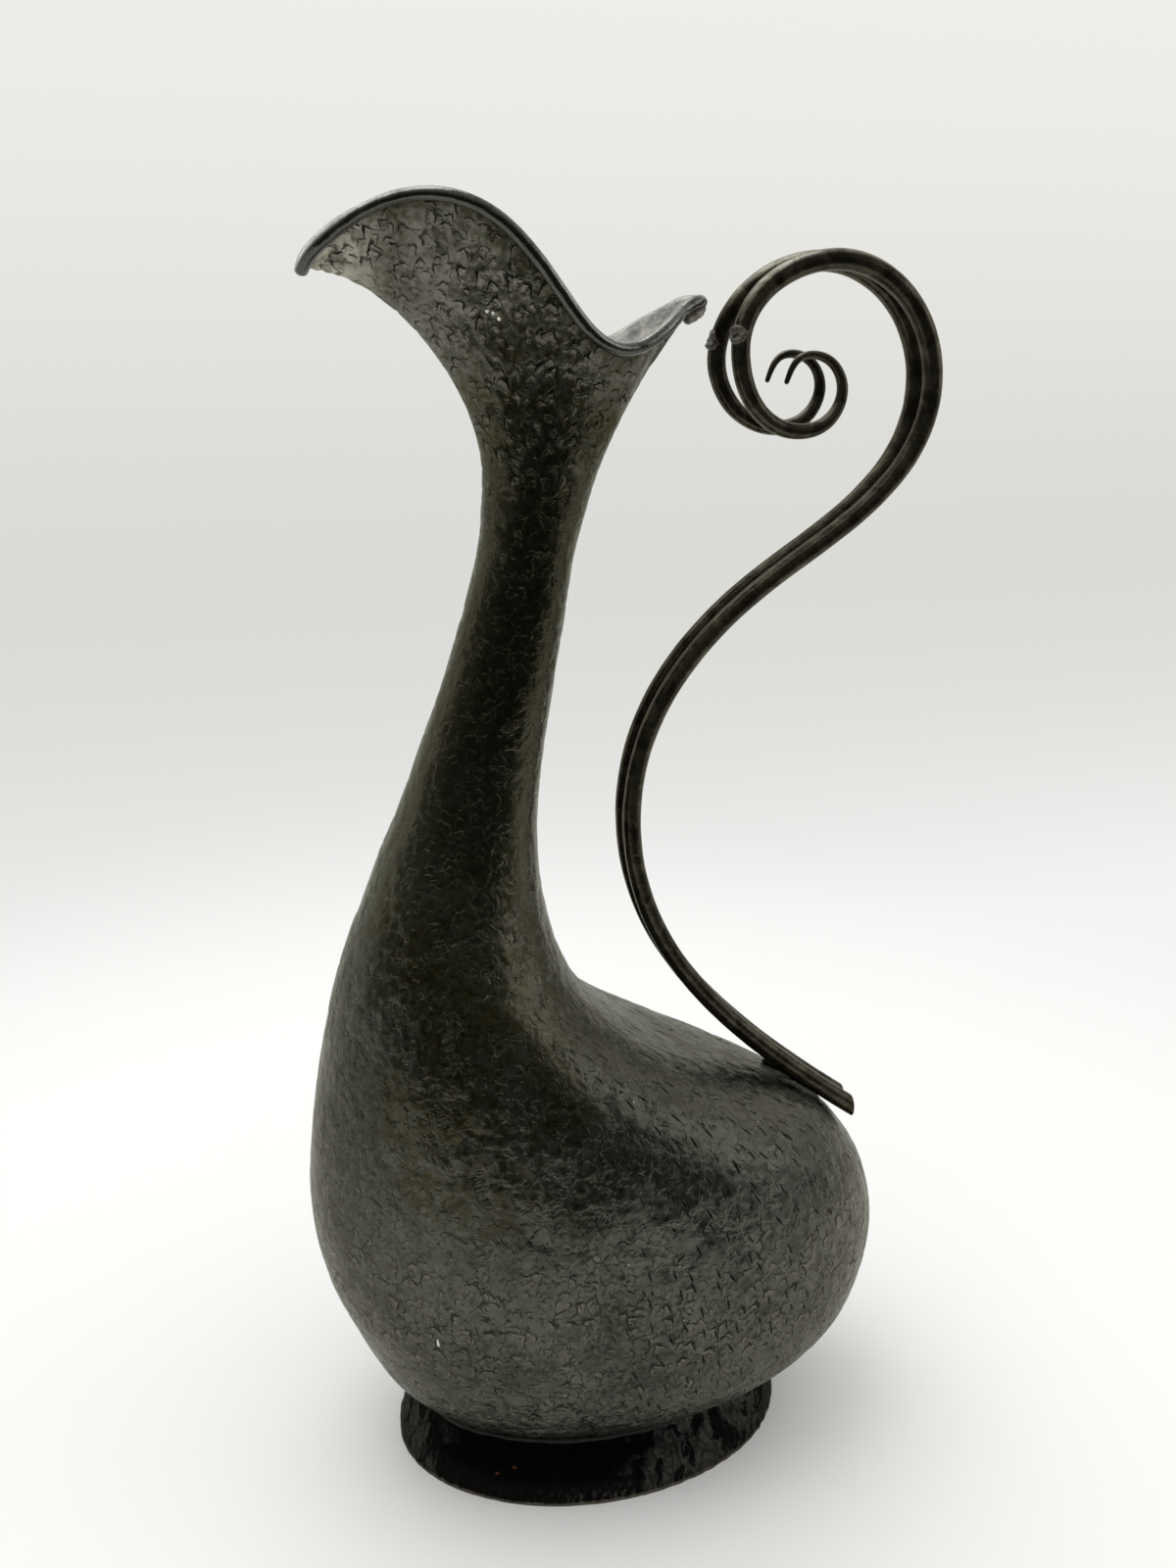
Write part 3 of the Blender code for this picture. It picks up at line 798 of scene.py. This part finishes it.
def marks(place, ways, setup):
    # one tool mark in each cell: places across and up it, in cells, and three numbers drawn for it
    size = setup["size"]
    spot = moved(warped(place, size * 0.2, size * setup["ragged"]), setup["shift"])
    _, colour, middle = voronoi(spot, size)
    drawn = addNode("SeparateColor", {0: colour})
    away = scaled(vector("SUBTRACT", spot, middle), 1 / size)
    flat = addNode("CombineXYZ", {k: vector("DOT_PRODUCT", away, way) for k, way in enumerate(ways)})[0]
    angle = drawn[0] * setup["spread"] + (setup["lean"] - setup["spread"] / 2)
    turned = addNode("VectorRotate", {"Vector": flat, "Angle": angle}, rotation_type="Z_AXIS")[0]
    across, up, _ = axes(turned)
    return across, up, drawn


def some(drawn, setup):
    # leaves a share of the cells bare
    return between(drawn[2], setup["bare"], setup["bare"] + 0.1)


def slashes(place, ways, setup):
    # short straight chisel cuts, tapered to both ends
    across, up, drawn = marks(place, ways, setup)
    taper = between(abs(across), setup["reach"] * 0.2, setup["reach"], 1.0, 0.0)
    cut = between(abs(up) / (taper * setup["width"] + 0.0001), 0.25, 1.0, 1.0, 0.0)
    return cut * between(taper, 0.0, 0.25) * some(drawn, setup)


def chips(place, ways, setup):
    # raised corners of the sheet, each with a dark wedge above it: the wedge and the corner
    across, up, drawn = marks(place, ways, setup)
    reach = calc("SQRT", across * across + setup["round"] ** 2) - setup["round"]
    bend = drawn[1] * setup["bend"] + setup["bendLeast"]
    skew = (drawn[0] - 0.5) * setup["skew"]
    line = across * skew + reach * bend + up + setup["drop"]
    taper = between(reach, 0.0, setup["reach"], 1.0, 0.0)
    shown = some(drawn, setup) * between(taper, 0.0, 0.2)
    wedge = between(line / (taper * setup["wedge"] + 0.002), 0.25, 1.0, 1.0, 0.0)
    wedge = wedge * between(line, -0.015, 0.015)
    corner = between(line, -setup["corner"], 0.0) * between(line, 0.0, 0.03, 1.0, 0.0) * taper
    return wedge * shown, corner * shown


def cracks(place, setup):
    # straight cracks that meet at corners, and the plates between them, each tilted its own way
    size = setup["size"]
    spot = moved(warped(place, size * 0.45, size * setup["ragged"]), setup["shift"])
    edge = voronoi(spot, size, feature="DISTANCE_TO_EDGE")[0]
    _, colour, middle = voronoi(spot, size)
    away = scaled(vector("SUBTRACT", spot, middle), 1 / size)
    tilt = vector("SUBTRACT", colour, (0.5, 0.5, 0.5))
    return between(edge, 0.0, setup["width"], 1.0, 0.0), vector("DOT_PRODUCT", away, tilt)


def creases(place, setup):
    # sharp folds that wander over the sheet: 1 down in a fold, 0 on the flats between
    level = cloud(moved(place, setup["shift"]), setup["size"], 3.0, 0.55, setup["twist"])
    return between(abs(level - 0.5), 0.0, setup["width"], 1.0, 0.0)


def flecks(place, spots):
    # small places laid bare: x, y, z, radius, and how much taller than wide
    found = []
    for x, y, z, radius, tall in spots:
        away = vector("DIVIDE", vector("SUBTRACT", place, (x, y, z)), (radius, radius, radius * tall))
        found.append(between(vector("LENGTH", away), 0.5, 1.0, 1.0, 0.0))
    return largest(*found)


def newFinish(name):
    material = bpy.data.materials.new(name)
    material.use_nodes = True
    nodes = material.node_tree.nodes
    place = Value(nodes.new("ShaderNodeTexCoord").outputs["Object"])
    normal = Value(nodes.new("ShaderNodeNewGeometry").outputs["Normal"])
    return material, nodes["Principled BSDF"], place, normal


def setShader(shader, base, rough, metal, shape=None, turned=None):
    # turned is the tint of what the metal mirrors where it turns away
    values = {"Base Color": base, "Roughness": rough, "Metallic": metal, "Normal": shape,
              "Specular Tint": turned}
    for name, value in values.items():
        if value is not None:
            feed(shader.inputs[name], value)


# Finish of the hammered body: brown-black patina, worn grey on the high spots, chipped and cracked all over,
# with painted light: highlights on the raised corners and the back of the shoulder, shade in the hollows and
# under the lip
bodyFinish = {
    "brown": (0.0200, 0.0184, 0.0058), "dark": (0.048, 0.0448, 0.0160), "ash": (0.042, 0.0412, 0.0325),
    "olive": (0.066, 0.0658, 0.0575), "wornAndSheen": (0.270, 0.258, 0.205), "pale": (0.50, 0.475, 0.385),
    "pit": (0.004, 0.0035, 0.002), "fleck": (0.80, 0.80, 0.76), "turned": (0.84, 0.83, 0.76),
    "rough": 0.19, "roughMottle": 0.26, "metal": 0.93,
}
# Heights from where a zone begins to where it is full
bodyHeights = {
    "bottom": (0.13, 0.06), "belly": (0.20, 0.12), "flank": (0.21, 0.17), "aboveBelly": (0.15, 0.22),
    "underSpout": (0.325, 0.275), "aboveShoulder": (0.185, 0.26), "underMouth": (0.335, 0.285),
    "spout": (0.272, 0.332), "top": (0.318, 0.350),
}
# The same along the ewer, from the spout's side to the tail
bodyLengths = {"left": (-0.066, -0.086), "right": (-0.045, 0.005)}
# Clouds in the patina: size, detail, roughness, twist
bodyClouds = {
    "broad": (0.024, 2.0, 0.55), "patch": (0.0055, 3.0, 0.6, 0.6), "mottle": (0.0016, 2.0, 0.6),
    "lump": (0.0060, 1.0, 0.5),
}
busyCloud = {"cloud": (0.011, 2.0, 0.5), "shift": (0.3, 0.1, 0.2)}
bodyRelief = {"grain": 0.00005, "fold": 0.00024, "crack": 0.00025, "plate": 0.00110, "lump": 0.00070,
              "slash": 0.00050, "chip": 0.00060}
bareSpots = [(-0.03924, -0.01394, 0.34865, 0.00060, 1.0), (-0.03782, -0.01442, 0.34829, 0.00055, 1.0),
             (-0.03636, -0.01466, 0.34686, 0.00055, 1.2), (-0.06556, -0.04289, 0.06524, 0.00045, 5.0),
             (-0.05970, -0.04680, 0.05600, 0.00040, 2.0), (-0.05850, -0.04640, 0.05480, 0.00035, 1.5)]
bigChips = {"size": 0.0070, "shift": (0.007, 0.052, 0.011), "spread": 1.7, "lean": 0.0, "bend": 0.9,
            "bendLeast": 0.45, "wedge": 0.28, "corner": 0.40, "reach": 0.44, "drop": -0.06, "bare": 0.10,
            "ragged": 0.24, "round": 0.015, "skew": 0.9}
smallChips = {**bigChips, "size": 0.0045, "shift": (0.057, 0.032, 0.071), "spread": 2.2, "lean": 0.1,
              "bend": 1.0, "bendLeast": 0.3, "wedge": 0.24, "bare": 0.05, "ragged": 0.26, "round": 0.05}
chipsOften = {"spout": 0.85, "bottom": 0.70, "elsewhere": 0.15}
bellySlashes = {"size": 0.0078, "shift": (0.107, 0.052, 0.011), "spread": 0.45, "lean": 1.15, "width": 0.058,
                "reach": 0.34, "bare": 0.0, "ragged": 0.02}
bodyCracks = {"size": 0.0074, "width": 0.050, "ragged": 0.34, "shift": (0.071, 0.017, 0.003)}
bodyFolds = {"size": 0.0078, "width": 0.115, "twist": 0.25, "shift": (0.011, 0.007, 0.031)}
speckSize = 0.0080
middleShare = 0.575


def makeBodyFinish():
    material, shader, place, normal = newFinish("hammeredPatina")
    ways = sheetWays(normal)
    x, _, z = axes(place)
    zone = {name: between(z, *span) for name, span in bodyHeights.items()}
    zone.update({name: between(x, *span) for name, span in bodyLengths.items()})
    bottom, spout, top, right = zone["bottom"], zone["spout"], zone["top"], zone["right"]
    neck = zone["aboveBelly"] * zone["underSpout"]
    throat = zone["aboveShoulder"] * zone["underMouth"]
    flanks = largest(right, zone["left"]) * zone["flank"]
    plain = 1.0 - largest(bottom, neck, spout)
    broad, patch, mottle, lump = (cloud(place, *setup) for setup in bodyClouds.values())
    busy = between(cloud(moved(place, busyCloud["shift"]), *busyCloud["cloud"]), 0.45, 0.55)

    # tool marks and the sheet's own cracks, each where the photograph has them
    often = spout * chipsOften["spout"] + bottom * chipsOften["bottom"] + chipsOften["elsewhere"]
    big, bigCorner = (part * busy * often for part in chips(place, ways, bigChips))
    dense = between(patch, 0.36, 0.54, 0.25, 1.0) * (often - bottom * 0.15)
    small, smallCorner = (part * dense for part in chips(place, ways, smallChips))
    wedge = largest(big, small * 0.85)
    corner = largest(bigCorner, smallCorner * 0.7)
    calm = 1.0 - neck * 0.84 - plain * 0.35
    crack, plate = cracks(place, bodyCracks)
    crack = crack * between(patch, 0.52, 0.62) * (calm - spout * 0.8)
    plate = plate * calm * between(broad, 0.35, 0.60, 0.35, 1.0)
    fold = creases(place, bodyFolds) * between(patch, 0.45, 0.60)
    fold = fold * (1.0 - spout * 0.6 - (neck + plain) * 0.5)
    slash = slashes(place, ways, bellySlashes) * zone["belly"] * right

    # how far the patina has gone, what hands and cloths have rubbed off, and a painted sheen on the back of
    # the shoulder
    share = patch * (bottom * 0.28 + 0.25) + broad * 0.33 + mottle * (0.45 - bottom * 0.28) + 0.06
    share = (share - middleShare) * (bottom * 0.2 - neck * 0.7 + 1.0) + middleShare
    lighter = top * 0.06 + between(z, 0.15, 0.07, 0.0, 0.09)
    handled = top * between(x, -0.080, -0.030, 0.33, 0.62) * between(x, -0.084, -0.060, 3.0, 1.0)
    # painted highlight: the back of the shoulder is coloured lighter where the bright wall behind shows in
    # it; it joins the wear below
    shoulderSheen = plain * right * between(x, 0.075, 0.035, 0.0, 0.055)
    wearAndSheen = between(share, 0.44, 0.76) * (handled * 0.95 + bottom * 0.13 + 0.12) + shoulderSheen
    thumbed = top * between(x, -0.062, -0.078, 0.0, 0.75) * between(patch, 0.36, 0.58, 0.25, 1.0)
    attribute = material.node_tree.nodes.new("ShaderNodeAttribute")
    attribute.attribute_name = "lipReach"
    reach = Value(attribute.outputs["Fac"]) + (patch - 0.5) * 0.014
    # painted shade: darker brown just under the lip, fading a few millimetres down
    underLipShade = between(reach, 0.0015, 0.0075, 0.85, 0.0) * between(x, -0.075, -0.050, 0.35, 1.0)
    # chip wedges, cracks, folds and cuts are coloured nearly black, partly as dark patina in these hollows
    # and partly as painted shade; the speckle grows darker towards the bottom
    peppered = between(mottle, 0.44, 0.30) * between(z, 0.11, 0.05, 0.15, 0.8)
    pits = largest(crack * 0.7, calc("POWER", fold, 6.0) * 0.5, wedge, slash, peppered)
    speck = between(voronoi(place, speckSize)[0], 0.018, 0.042, 0.45, 0.0)
    speck = speck * zone["belly"] * between(broad, 0.42, 0.58)
    bare = largest(flecks(place, bareSpots), speck)
    base = blend(largest(bottom, flanks), bodyFinish["dark"], bodyFinish["ash"])
    coats = [(between(share + lighter, 0.44, 0.74), "olive"), (throat * 0.60, "brown"), (wearAndSheen, "wornAndSheen"),
             # painted highlight: the raised chip corners are coloured lighter, partly as wear
             (thumbed, "pale"), (underLipShade, "brown"), (corner * (bottom * 0.26 + 0.22), "wornAndSheen"), (pits, "pit"),
             (bare, "fleck")]
    for amount, colour in coats:
        base = blend(amount, base, bodyFinish[colour])

    heights = {"grain": mottle * calm, "fold": fold * -1.0, "crack": crack * -1.0, "plate": plate,
               "lump": lump * calm, "slash": slash * -1.0, "chip": corner - wedge}
    shape = None
    for name, height in heights.items():
        shape = bump(height, bodyRelief[name], shape)
    rough = mottle * (bodyFinish["roughMottle"] - neck * 0.18) + neck * 0.02 + bodyFinish["rough"]
    metal = (bodyFinish["metal"] - top * 0.20) * (1.0 - bare)
    setShader(shader, base, rough, metal, shape, bodyFinish["turned"])
    return material


# Rolled lip: the same patina, rubbed bright by hands and cloths, and painted lighter on top as a highlight
# and darker underneath as shade
lipFinish = {"dark": (0.055, 0.053, 0.045), "wornAndSheen": (0.31, 0.305, 0.28), "rough": 0.10, "roughMottle": 0.2,
             "metal": 0.92, "patch": (0.0060, 3.0, 0.6, 0.6), "mottle": (0.0012, 3.0, 0.65, 0.5),
             "patchDepth": 0.00012, "mottleDepth": 0.00006}


def makeLipFinish():
    material, shader, place, normal = newFinish("rolledLipPatina")
    patch = cloud(place, *lipFinish["patch"])
    mottle = cloud(place, *lipFinish["mottle"])
    # painted light: the roll is lighter where it faces up and darker underneath, partly wear on top
    rubbedAndTopSheen = between(axes(normal)[2], -0.2, 0.6, 0.12, 1.0)
    rubbedAndTopSheen = rubbedAndTopSheen * between(mottle * 0.45 + patch * 0.55, 0.30, 0.62, 0.25, 1.0)
    base = blend(rubbedAndTopSheen, lipFinish["dark"], lipFinish["wornAndSheen"])
    shape = bump(mottle, lipFinish["mottleDepth"], bump(patch, lipFinish["patchDepth"]))
    rough = mottle * lipFinish["roughMottle"] + lipFinish["rough"]
    setShader(shader, base, rough, lipFinish["metal"], shape)
    return material


# Foot: nearly black, barked with upright marks, rubbed bare along the ground
footFinish = {
    "black": (0.0036, 0.0035, 0.0032), "grey": (0.054, 0.0534, 0.0480), "edge": (0.20, 0.175, 0.135),
    "copper": (0.20, 0.095, 0.050), "turned": (0.40, 0.40, 0.38), "rough": 0.21, "roughBark": 0.3,
    "metal": 0.90, "tall": (1, 1, 1.9), "bark": (0.0066, 4.0, 0.62, 0.5),
    "fine": (0.0011, 3.0, 0.6, 0.3), "rim": (0.0022, 3.0, 0.6), "barkDepth": 0.0012,
    "fineDepth": 0.00020,
}
footCracks = {"size": 0.0052, "width": 0.10, "ragged": 0.45, "shift": (0.031, 0.007, 0.013)}
copperSpots = [(-0.04217, -0.03606, 0.01094, 0.0011, 0.45), (-0.04710, -0.03461, 0.00873, 0.0009, 0.5),
               (-0.04371, -0.03479, 0.01169, 0.0006, 0.5)]


def makeFootFinish():
    material, shader, place, _ = newFinish("barkedFootPatina")
    x, _, z = axes(place)
    tall = vector("DIVIDE", place, footFinish["tall"])
    bark = cloud(tall, *footFinish["bark"])
    fine = cloud(tall, *footFinish["fine"])
    crack, plate = cracks(tall, footCracks)
    ends = between(abs(x - foot["smoothMiddle"]), 0.018, 0.038)
    flake = between(ends * 0.09 + bark, 0.545, 0.605) * (ends * 0.95 + 0.05)
    hem = between(z, 0.0070, 0.0015) * between(fine, 0.50, 0.60)
    flake = largest(flake, hem * between(x, -0.045, -0.010, 0.15, 0.9))
    flake = flake * between(fine, 0.30, 0.62, 0.45, 1.0) * (1.0 - crack * 0.6)
    chipped = flecks(warped(place, 0.0008, 0.0012), copperSpots)
    rim = between(z - cloud(place, *footFinish["rim"]) * 0.0022, -0.0006, 0.0004, 1.0, 0.0)
    base = blend(flake, footFinish["black"], footFinish["grey"])
    base = blend(chipped * 0.8, base, footFinish["copper"])
    base = blend(rim * 0.8, base, footFinish["edge"])
    shape = bump(fine * ends, footFinish["fineDepth"])
    shape = bump((bark + plate * 0.25) * ends, footFinish["barkDepth"], shape)
    rough = bark * footFinish["roughBark"] + footFinish["rough"]
    setShader(shader, base, rough, footFinish["metal"], shape, footFinish["turned"])
    return material


# Rods: smooth dark brown, lighter along the top of the loop, partly rubbed and partly a painted highlight
rodFinish = {
    "dark": (0.022, 0.0195, 0.0125), "brown": (0.068, 0.060, 0.041), "dust": (0.050, 0.046, 0.036),
    "bright": (0.34, 0.325, 0.275), "turned": (0.75, 0.735, 0.66), "rough": 0.14, "roughStreak": 0.2,
    "metal": 0.80, "streak": (0.006, 3.0, 0.6, 0.5), "grain": (0.0008, 2.0, 0.55),
    "streakDepth": 0.00025, "grainDepth": 0.00005,
}


def makeRodFinish():
    material, shader, place, normal = newFinish("smoothRodPatina")
    streak = cloud(place, *rodFinish["streak"])
    grain = cloud(place, *rodFinish["grain"])
    # painted highlight: the top of the loop is coloured lighter where it faces up
    rubbedAndTopSheen = between(axes(normal)[2], 0.45, 0.85) * between(axes(place)[2], 0.30, 0.355)
    rubbedAndTopSheen = rubbedAndTopSheen * between(streak, 0.25, 0.60, 0.35, 0.9)
    base = blend(between(streak, 0.35, 0.68), rodFinish["dark"], rodFinish["brown"])
    base = blend(between(grain, 0.62, 0.75, 0.0, 0.25), base, rodFinish["dust"])
    base = blend(rubbedAndTopSheen, base, rodFinish["bright"])
    shape = bump(grain, rodFinish["grainDepth"], bump(streak, rodFinish["streakDepth"]))
    rough = streak * rodFinish["roughStreak"] + rodFinish["rough"]
    setShader(shader, base, rough, rodFinish["metal"], shape, rodFinish["turned"])
    return material


# Plain finishes: the lining, the wire in the lip, and solder, pale where it broke and dark where left alone;
# the solder in the foot's groove is near-black as painted shade
solder = {"cloud": (0.0009, 4.0, 0.7, 0.4), "speck": (0.0026, 2.0, 0.5), "metal": 0.15, "depth": 0.0003}
plainFinishes = {
    "dullLining": {"dark": (0.10, 0.098, 0.086), "pale": (0.42, 0.41, 0.375), "rough": 0.25, "metal": 0.3,
                   "cloud": (0.004, 4.0, 0.65, 0.3), "depth": 0.0002},
    "drawnWire": {"dark": (0.11, 0.055, 0.03), "pale": (0.24, 0.13, 0.075), "rough": 0.3, "metal": 0.8,
                  "cloud": (0.0015, 3.0, 0.6)},
    "paleSolder": {"dark": (0.010, 0.0085, 0.0060), "pale": (0.098, 0.087, 0.066), "rough": 0.21, **solder},
    "darkSolder": {"dark": (0.010, 0.009, 0.006), "pale": (0.040, 0.037, 0.030), "rough": 0.35, **solder},
    "tanSolder": {"dark": (0.10, 0.090, 0.068), "pale": (0.33, 0.31, 0.26), "rough": 0.40, **solder},
    # painted shade: the solder in the groove under the belly is near-black and dull
    "shadedGrooveSolder": {"dark": (0.003, 0.003, 0.002), "pale": (0.014, 0.013, 0.011), "rough": 0.60, **solder},
}


def makePlainFinish(name, setup):
    material, shader, place, _ = newFinish(name)
    patch = cloud(place, *setup["cloud"])
    if "speck" in setup:
        share = between(cloud(place, *setup["speck"]) * 0.5 + patch * 0.6, 0.38, 0.70)
    else:
        share = between(patch, 0.3, 0.7)
    shape = bump(patch, setup["depth"]) if "depth" in setup else None
    base = blend(share, setup["dark"], setup["pale"])
    setShader(shader, base, patch * 0.3 + setup["rough"], setup["metal"], shape)
    return material


looks = {name: makePlainFinish(name, setup) for name, setup in plainFinishes.items()}
rodPatina = makeRodFinish()
faceFinish = np.zeros(len(hammeredBody.data.polygons), dtype=np.int32)
faceFinish[beadStart:] = 2
faceFinish[insideStart:] = 1
hammeredBody.data.polygons.foreach_set("material_index", faceFinish)
frame["nodes"]["base_disc"].material_slots[0].material = looks["dullLining"]
frame["nodes"]["rim_wire"].material_slots[0].material = looks["drawnWire"]

# Every piece stands for its solid and moves with it: piece, node, slot, finishes
bodyLooks = [makeBodyFinish(), looks["dullLining"], makeLipFinish()]
stands = [
    (hammeredBody, "body_shell", "patinated_copper", bodyLooks),
    (footSkirt, "foot_skirt", "foot_patina", [makeFootFinish()]),
    (footSolder, "foot_solder_ring", "grey_solder", [looks["shadedGrooveSolder"]]),
    (leftRod, "left_handle_rod", "dark_rod", [rodPatina]),
    (rightRod, "right_handle_rod", "dark_rod", [rodPatina]),
    (leftSolder, "left_handle_solder", "grey_solder", [looks["darkSolder"]]),
    (rightSolder, "right_handle_solder", "grey_solder", [looks["darkSolder"]]),
    (leftScar, "left_scroll_scar", "grey_solder", [looks["paleSolder"]]),
    (rightScar, "right_scroll_scar", "grey_solder", [looks["paleSolder"]]),
    (lipLump, "lip_solder_scar", "grey_solder", [looks["tanSolder"]]),
]
for piece, node, slot, finishes in stands:
    for finish in finishes:
        piece.data.materials.append(finish)
    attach(piece, "root")
    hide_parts(node)
print("finishes made and pieces set in the frame")

# Pale sweep that ends in front like a table, soft light from above, and a dim room on the camera's side
studio = {
    "floor": (0.865, 0.865, 0.855),
    "floorFar": (0.905, 0.905, 0.895),
    "front": -0.37,
    "bendStart": 0.42,
    "bendRadius": 0.40,
    "wallHeight": 1.6,
    "halfWidth": 2.6,
    "wallLow": (0.69, 0.695, 0.665),     # just above the bend
    "wallHigh": (0.86, 0.85, 0.83),
    "shadowMiddle": (-0.008, 0.06, 0.0),
    "shadowReach": (0.22, 0.55),         # real floor inside, even paper outside
    "cameraSide": (-0.05, -0.99, 0.10),
    "dim": 0.014,                        # what the metal mirrors towards the camera
    "sides": 0.26,
    "ceiling": 0.16,
    "fill": 0.66,                        # even light from all round
    "room": 0.88,                        # what a camera sees past the sweep
    "air": (1.0, 1.0, 0.985),
}
softboxes = {
    "overheadLight": {"place": (-0.25, 0.14, 1.02), "target": (0, 0, 0.1), "size": (1.0, 0.8), "power": 4.2},
    "rightLight": {"place": (0.90, -0.24, 0.50), "target": (0, 0, 0.12), "size": (0.7, 0.6), "power": 1.60},
}


def buildSweep():
    profile = [(y, 0.0) for y in (studio["front"], -0.2, 0.0, 0.2, studio["bendStart"])]
    for angle in np.linspace(0.06, math.pi / 2, 24):
        profile.append((studio["bendStart"] + studio["bendRadius"] * math.sin(angle),
                        studio["bendRadius"] * (1 - math.cos(angle))))
    profile.append((studio["bendStart"] + studio["bendRadius"], studio["wallHeight"]))
    points = []
    for y, z in profile:
        points += [(-studio["halfWidth"], y, z), (studio["halfWidth"], y, z)]
    faces = [(2 * i, 2 * i + 1, 2 * i + 3, 2 * i + 2) for i in range(len(profile) - 1)]
    sweep = addMesh("sweep", points, faces)
    material, shader, place, _ = newFinish("paperSweep")
    setShader(shader, studio["floor"], 0.9, 0.0)
    shader.inputs["Specular IOR Level"].default_value = 0.1
    _, y, z = axes(place)
    # painted shade: the glowing sweep is darker just above the bend, where less light falls
    low = blend(between(y, 0.30, 0.80), studio["floorFar"], studio["wallLow"])
    glow = addNode("Emission", {"Color": blend(between(z, 0.10, 0.62), low, studio["wallHigh"])})[0]
    nodes = material.node_tree.nodes
    path = nodes.new("ShaderNodeLightPath").outputs
    seen = largest(*(Value(path[name]) for name in ("Is Camera Ray", "Is Glossy Ray", "Is Transmission Ray")))
    away = vector("LENGTH", vector("SUBTRACT", place, studio["shadowMiddle"]))
    far = between(away, *studio["shadowReach"]) * seen
    surface = addNode("MixShader", {0: far, 1: Value(shader.outputs[0]), 2: glow})[0]
    feed(nodes["Material Output"].inputs["Surface"], surface)
    sweep.data.materials.append(material)


def addSoftbox(name, setup):
    data = bpy.data.lights.new(name, "AREA")
    data.shape = "RECTANGLE"
    data.size, data.size_y = setup["size"]
    data.energy = setup["power"]
    lamp = bpy.data.objects.new(name, data)
    lamp.location = setup["place"]
    aim = Vector(setup["target"]) - Vector(setup["place"])
    lamp.rotation_euler = aim.to_track_quat("-Z", "Y").to_euler()
    scene.collection.objects.link(lamp)


def lightRoom():
    world = bpy.data.worlds.new("studio")
    scene.world = world
    world.use_nodes = True
    nodes = world.node_tree.nodes
    way = vector("NORMALIZE", Value(nodes.new("ShaderNodeTexCoord").outputs["Generated"]))
    facing = vector("DOT_PRODUCT", way, studio["cameraSide"])
    mirrored = between(facing, -0.45, 0.75, studio["sides"], studio["dim"])
    mirrored = mirrored + between(axes(way)[2], 0.10, 0.55, 0.0, studio["ceiling"])
    path = nodes.new("ShaderNodeLightPath").outputs
    light = Value(path["Is Diffuse Ray"]) * studio["fill"] + mirrored
    light = largest(light, Value(path["Is Camera Ray"]) * studio["room"])
    feed(nodes["Background"].inputs["Color"], studio["air"])
    feed(nodes["Background"].inputs["Strength"], light)


buildSweep()
for name, setup in softboxes.items():
    addSoftbox(name, setup)
lightRoom()
print("studio set")
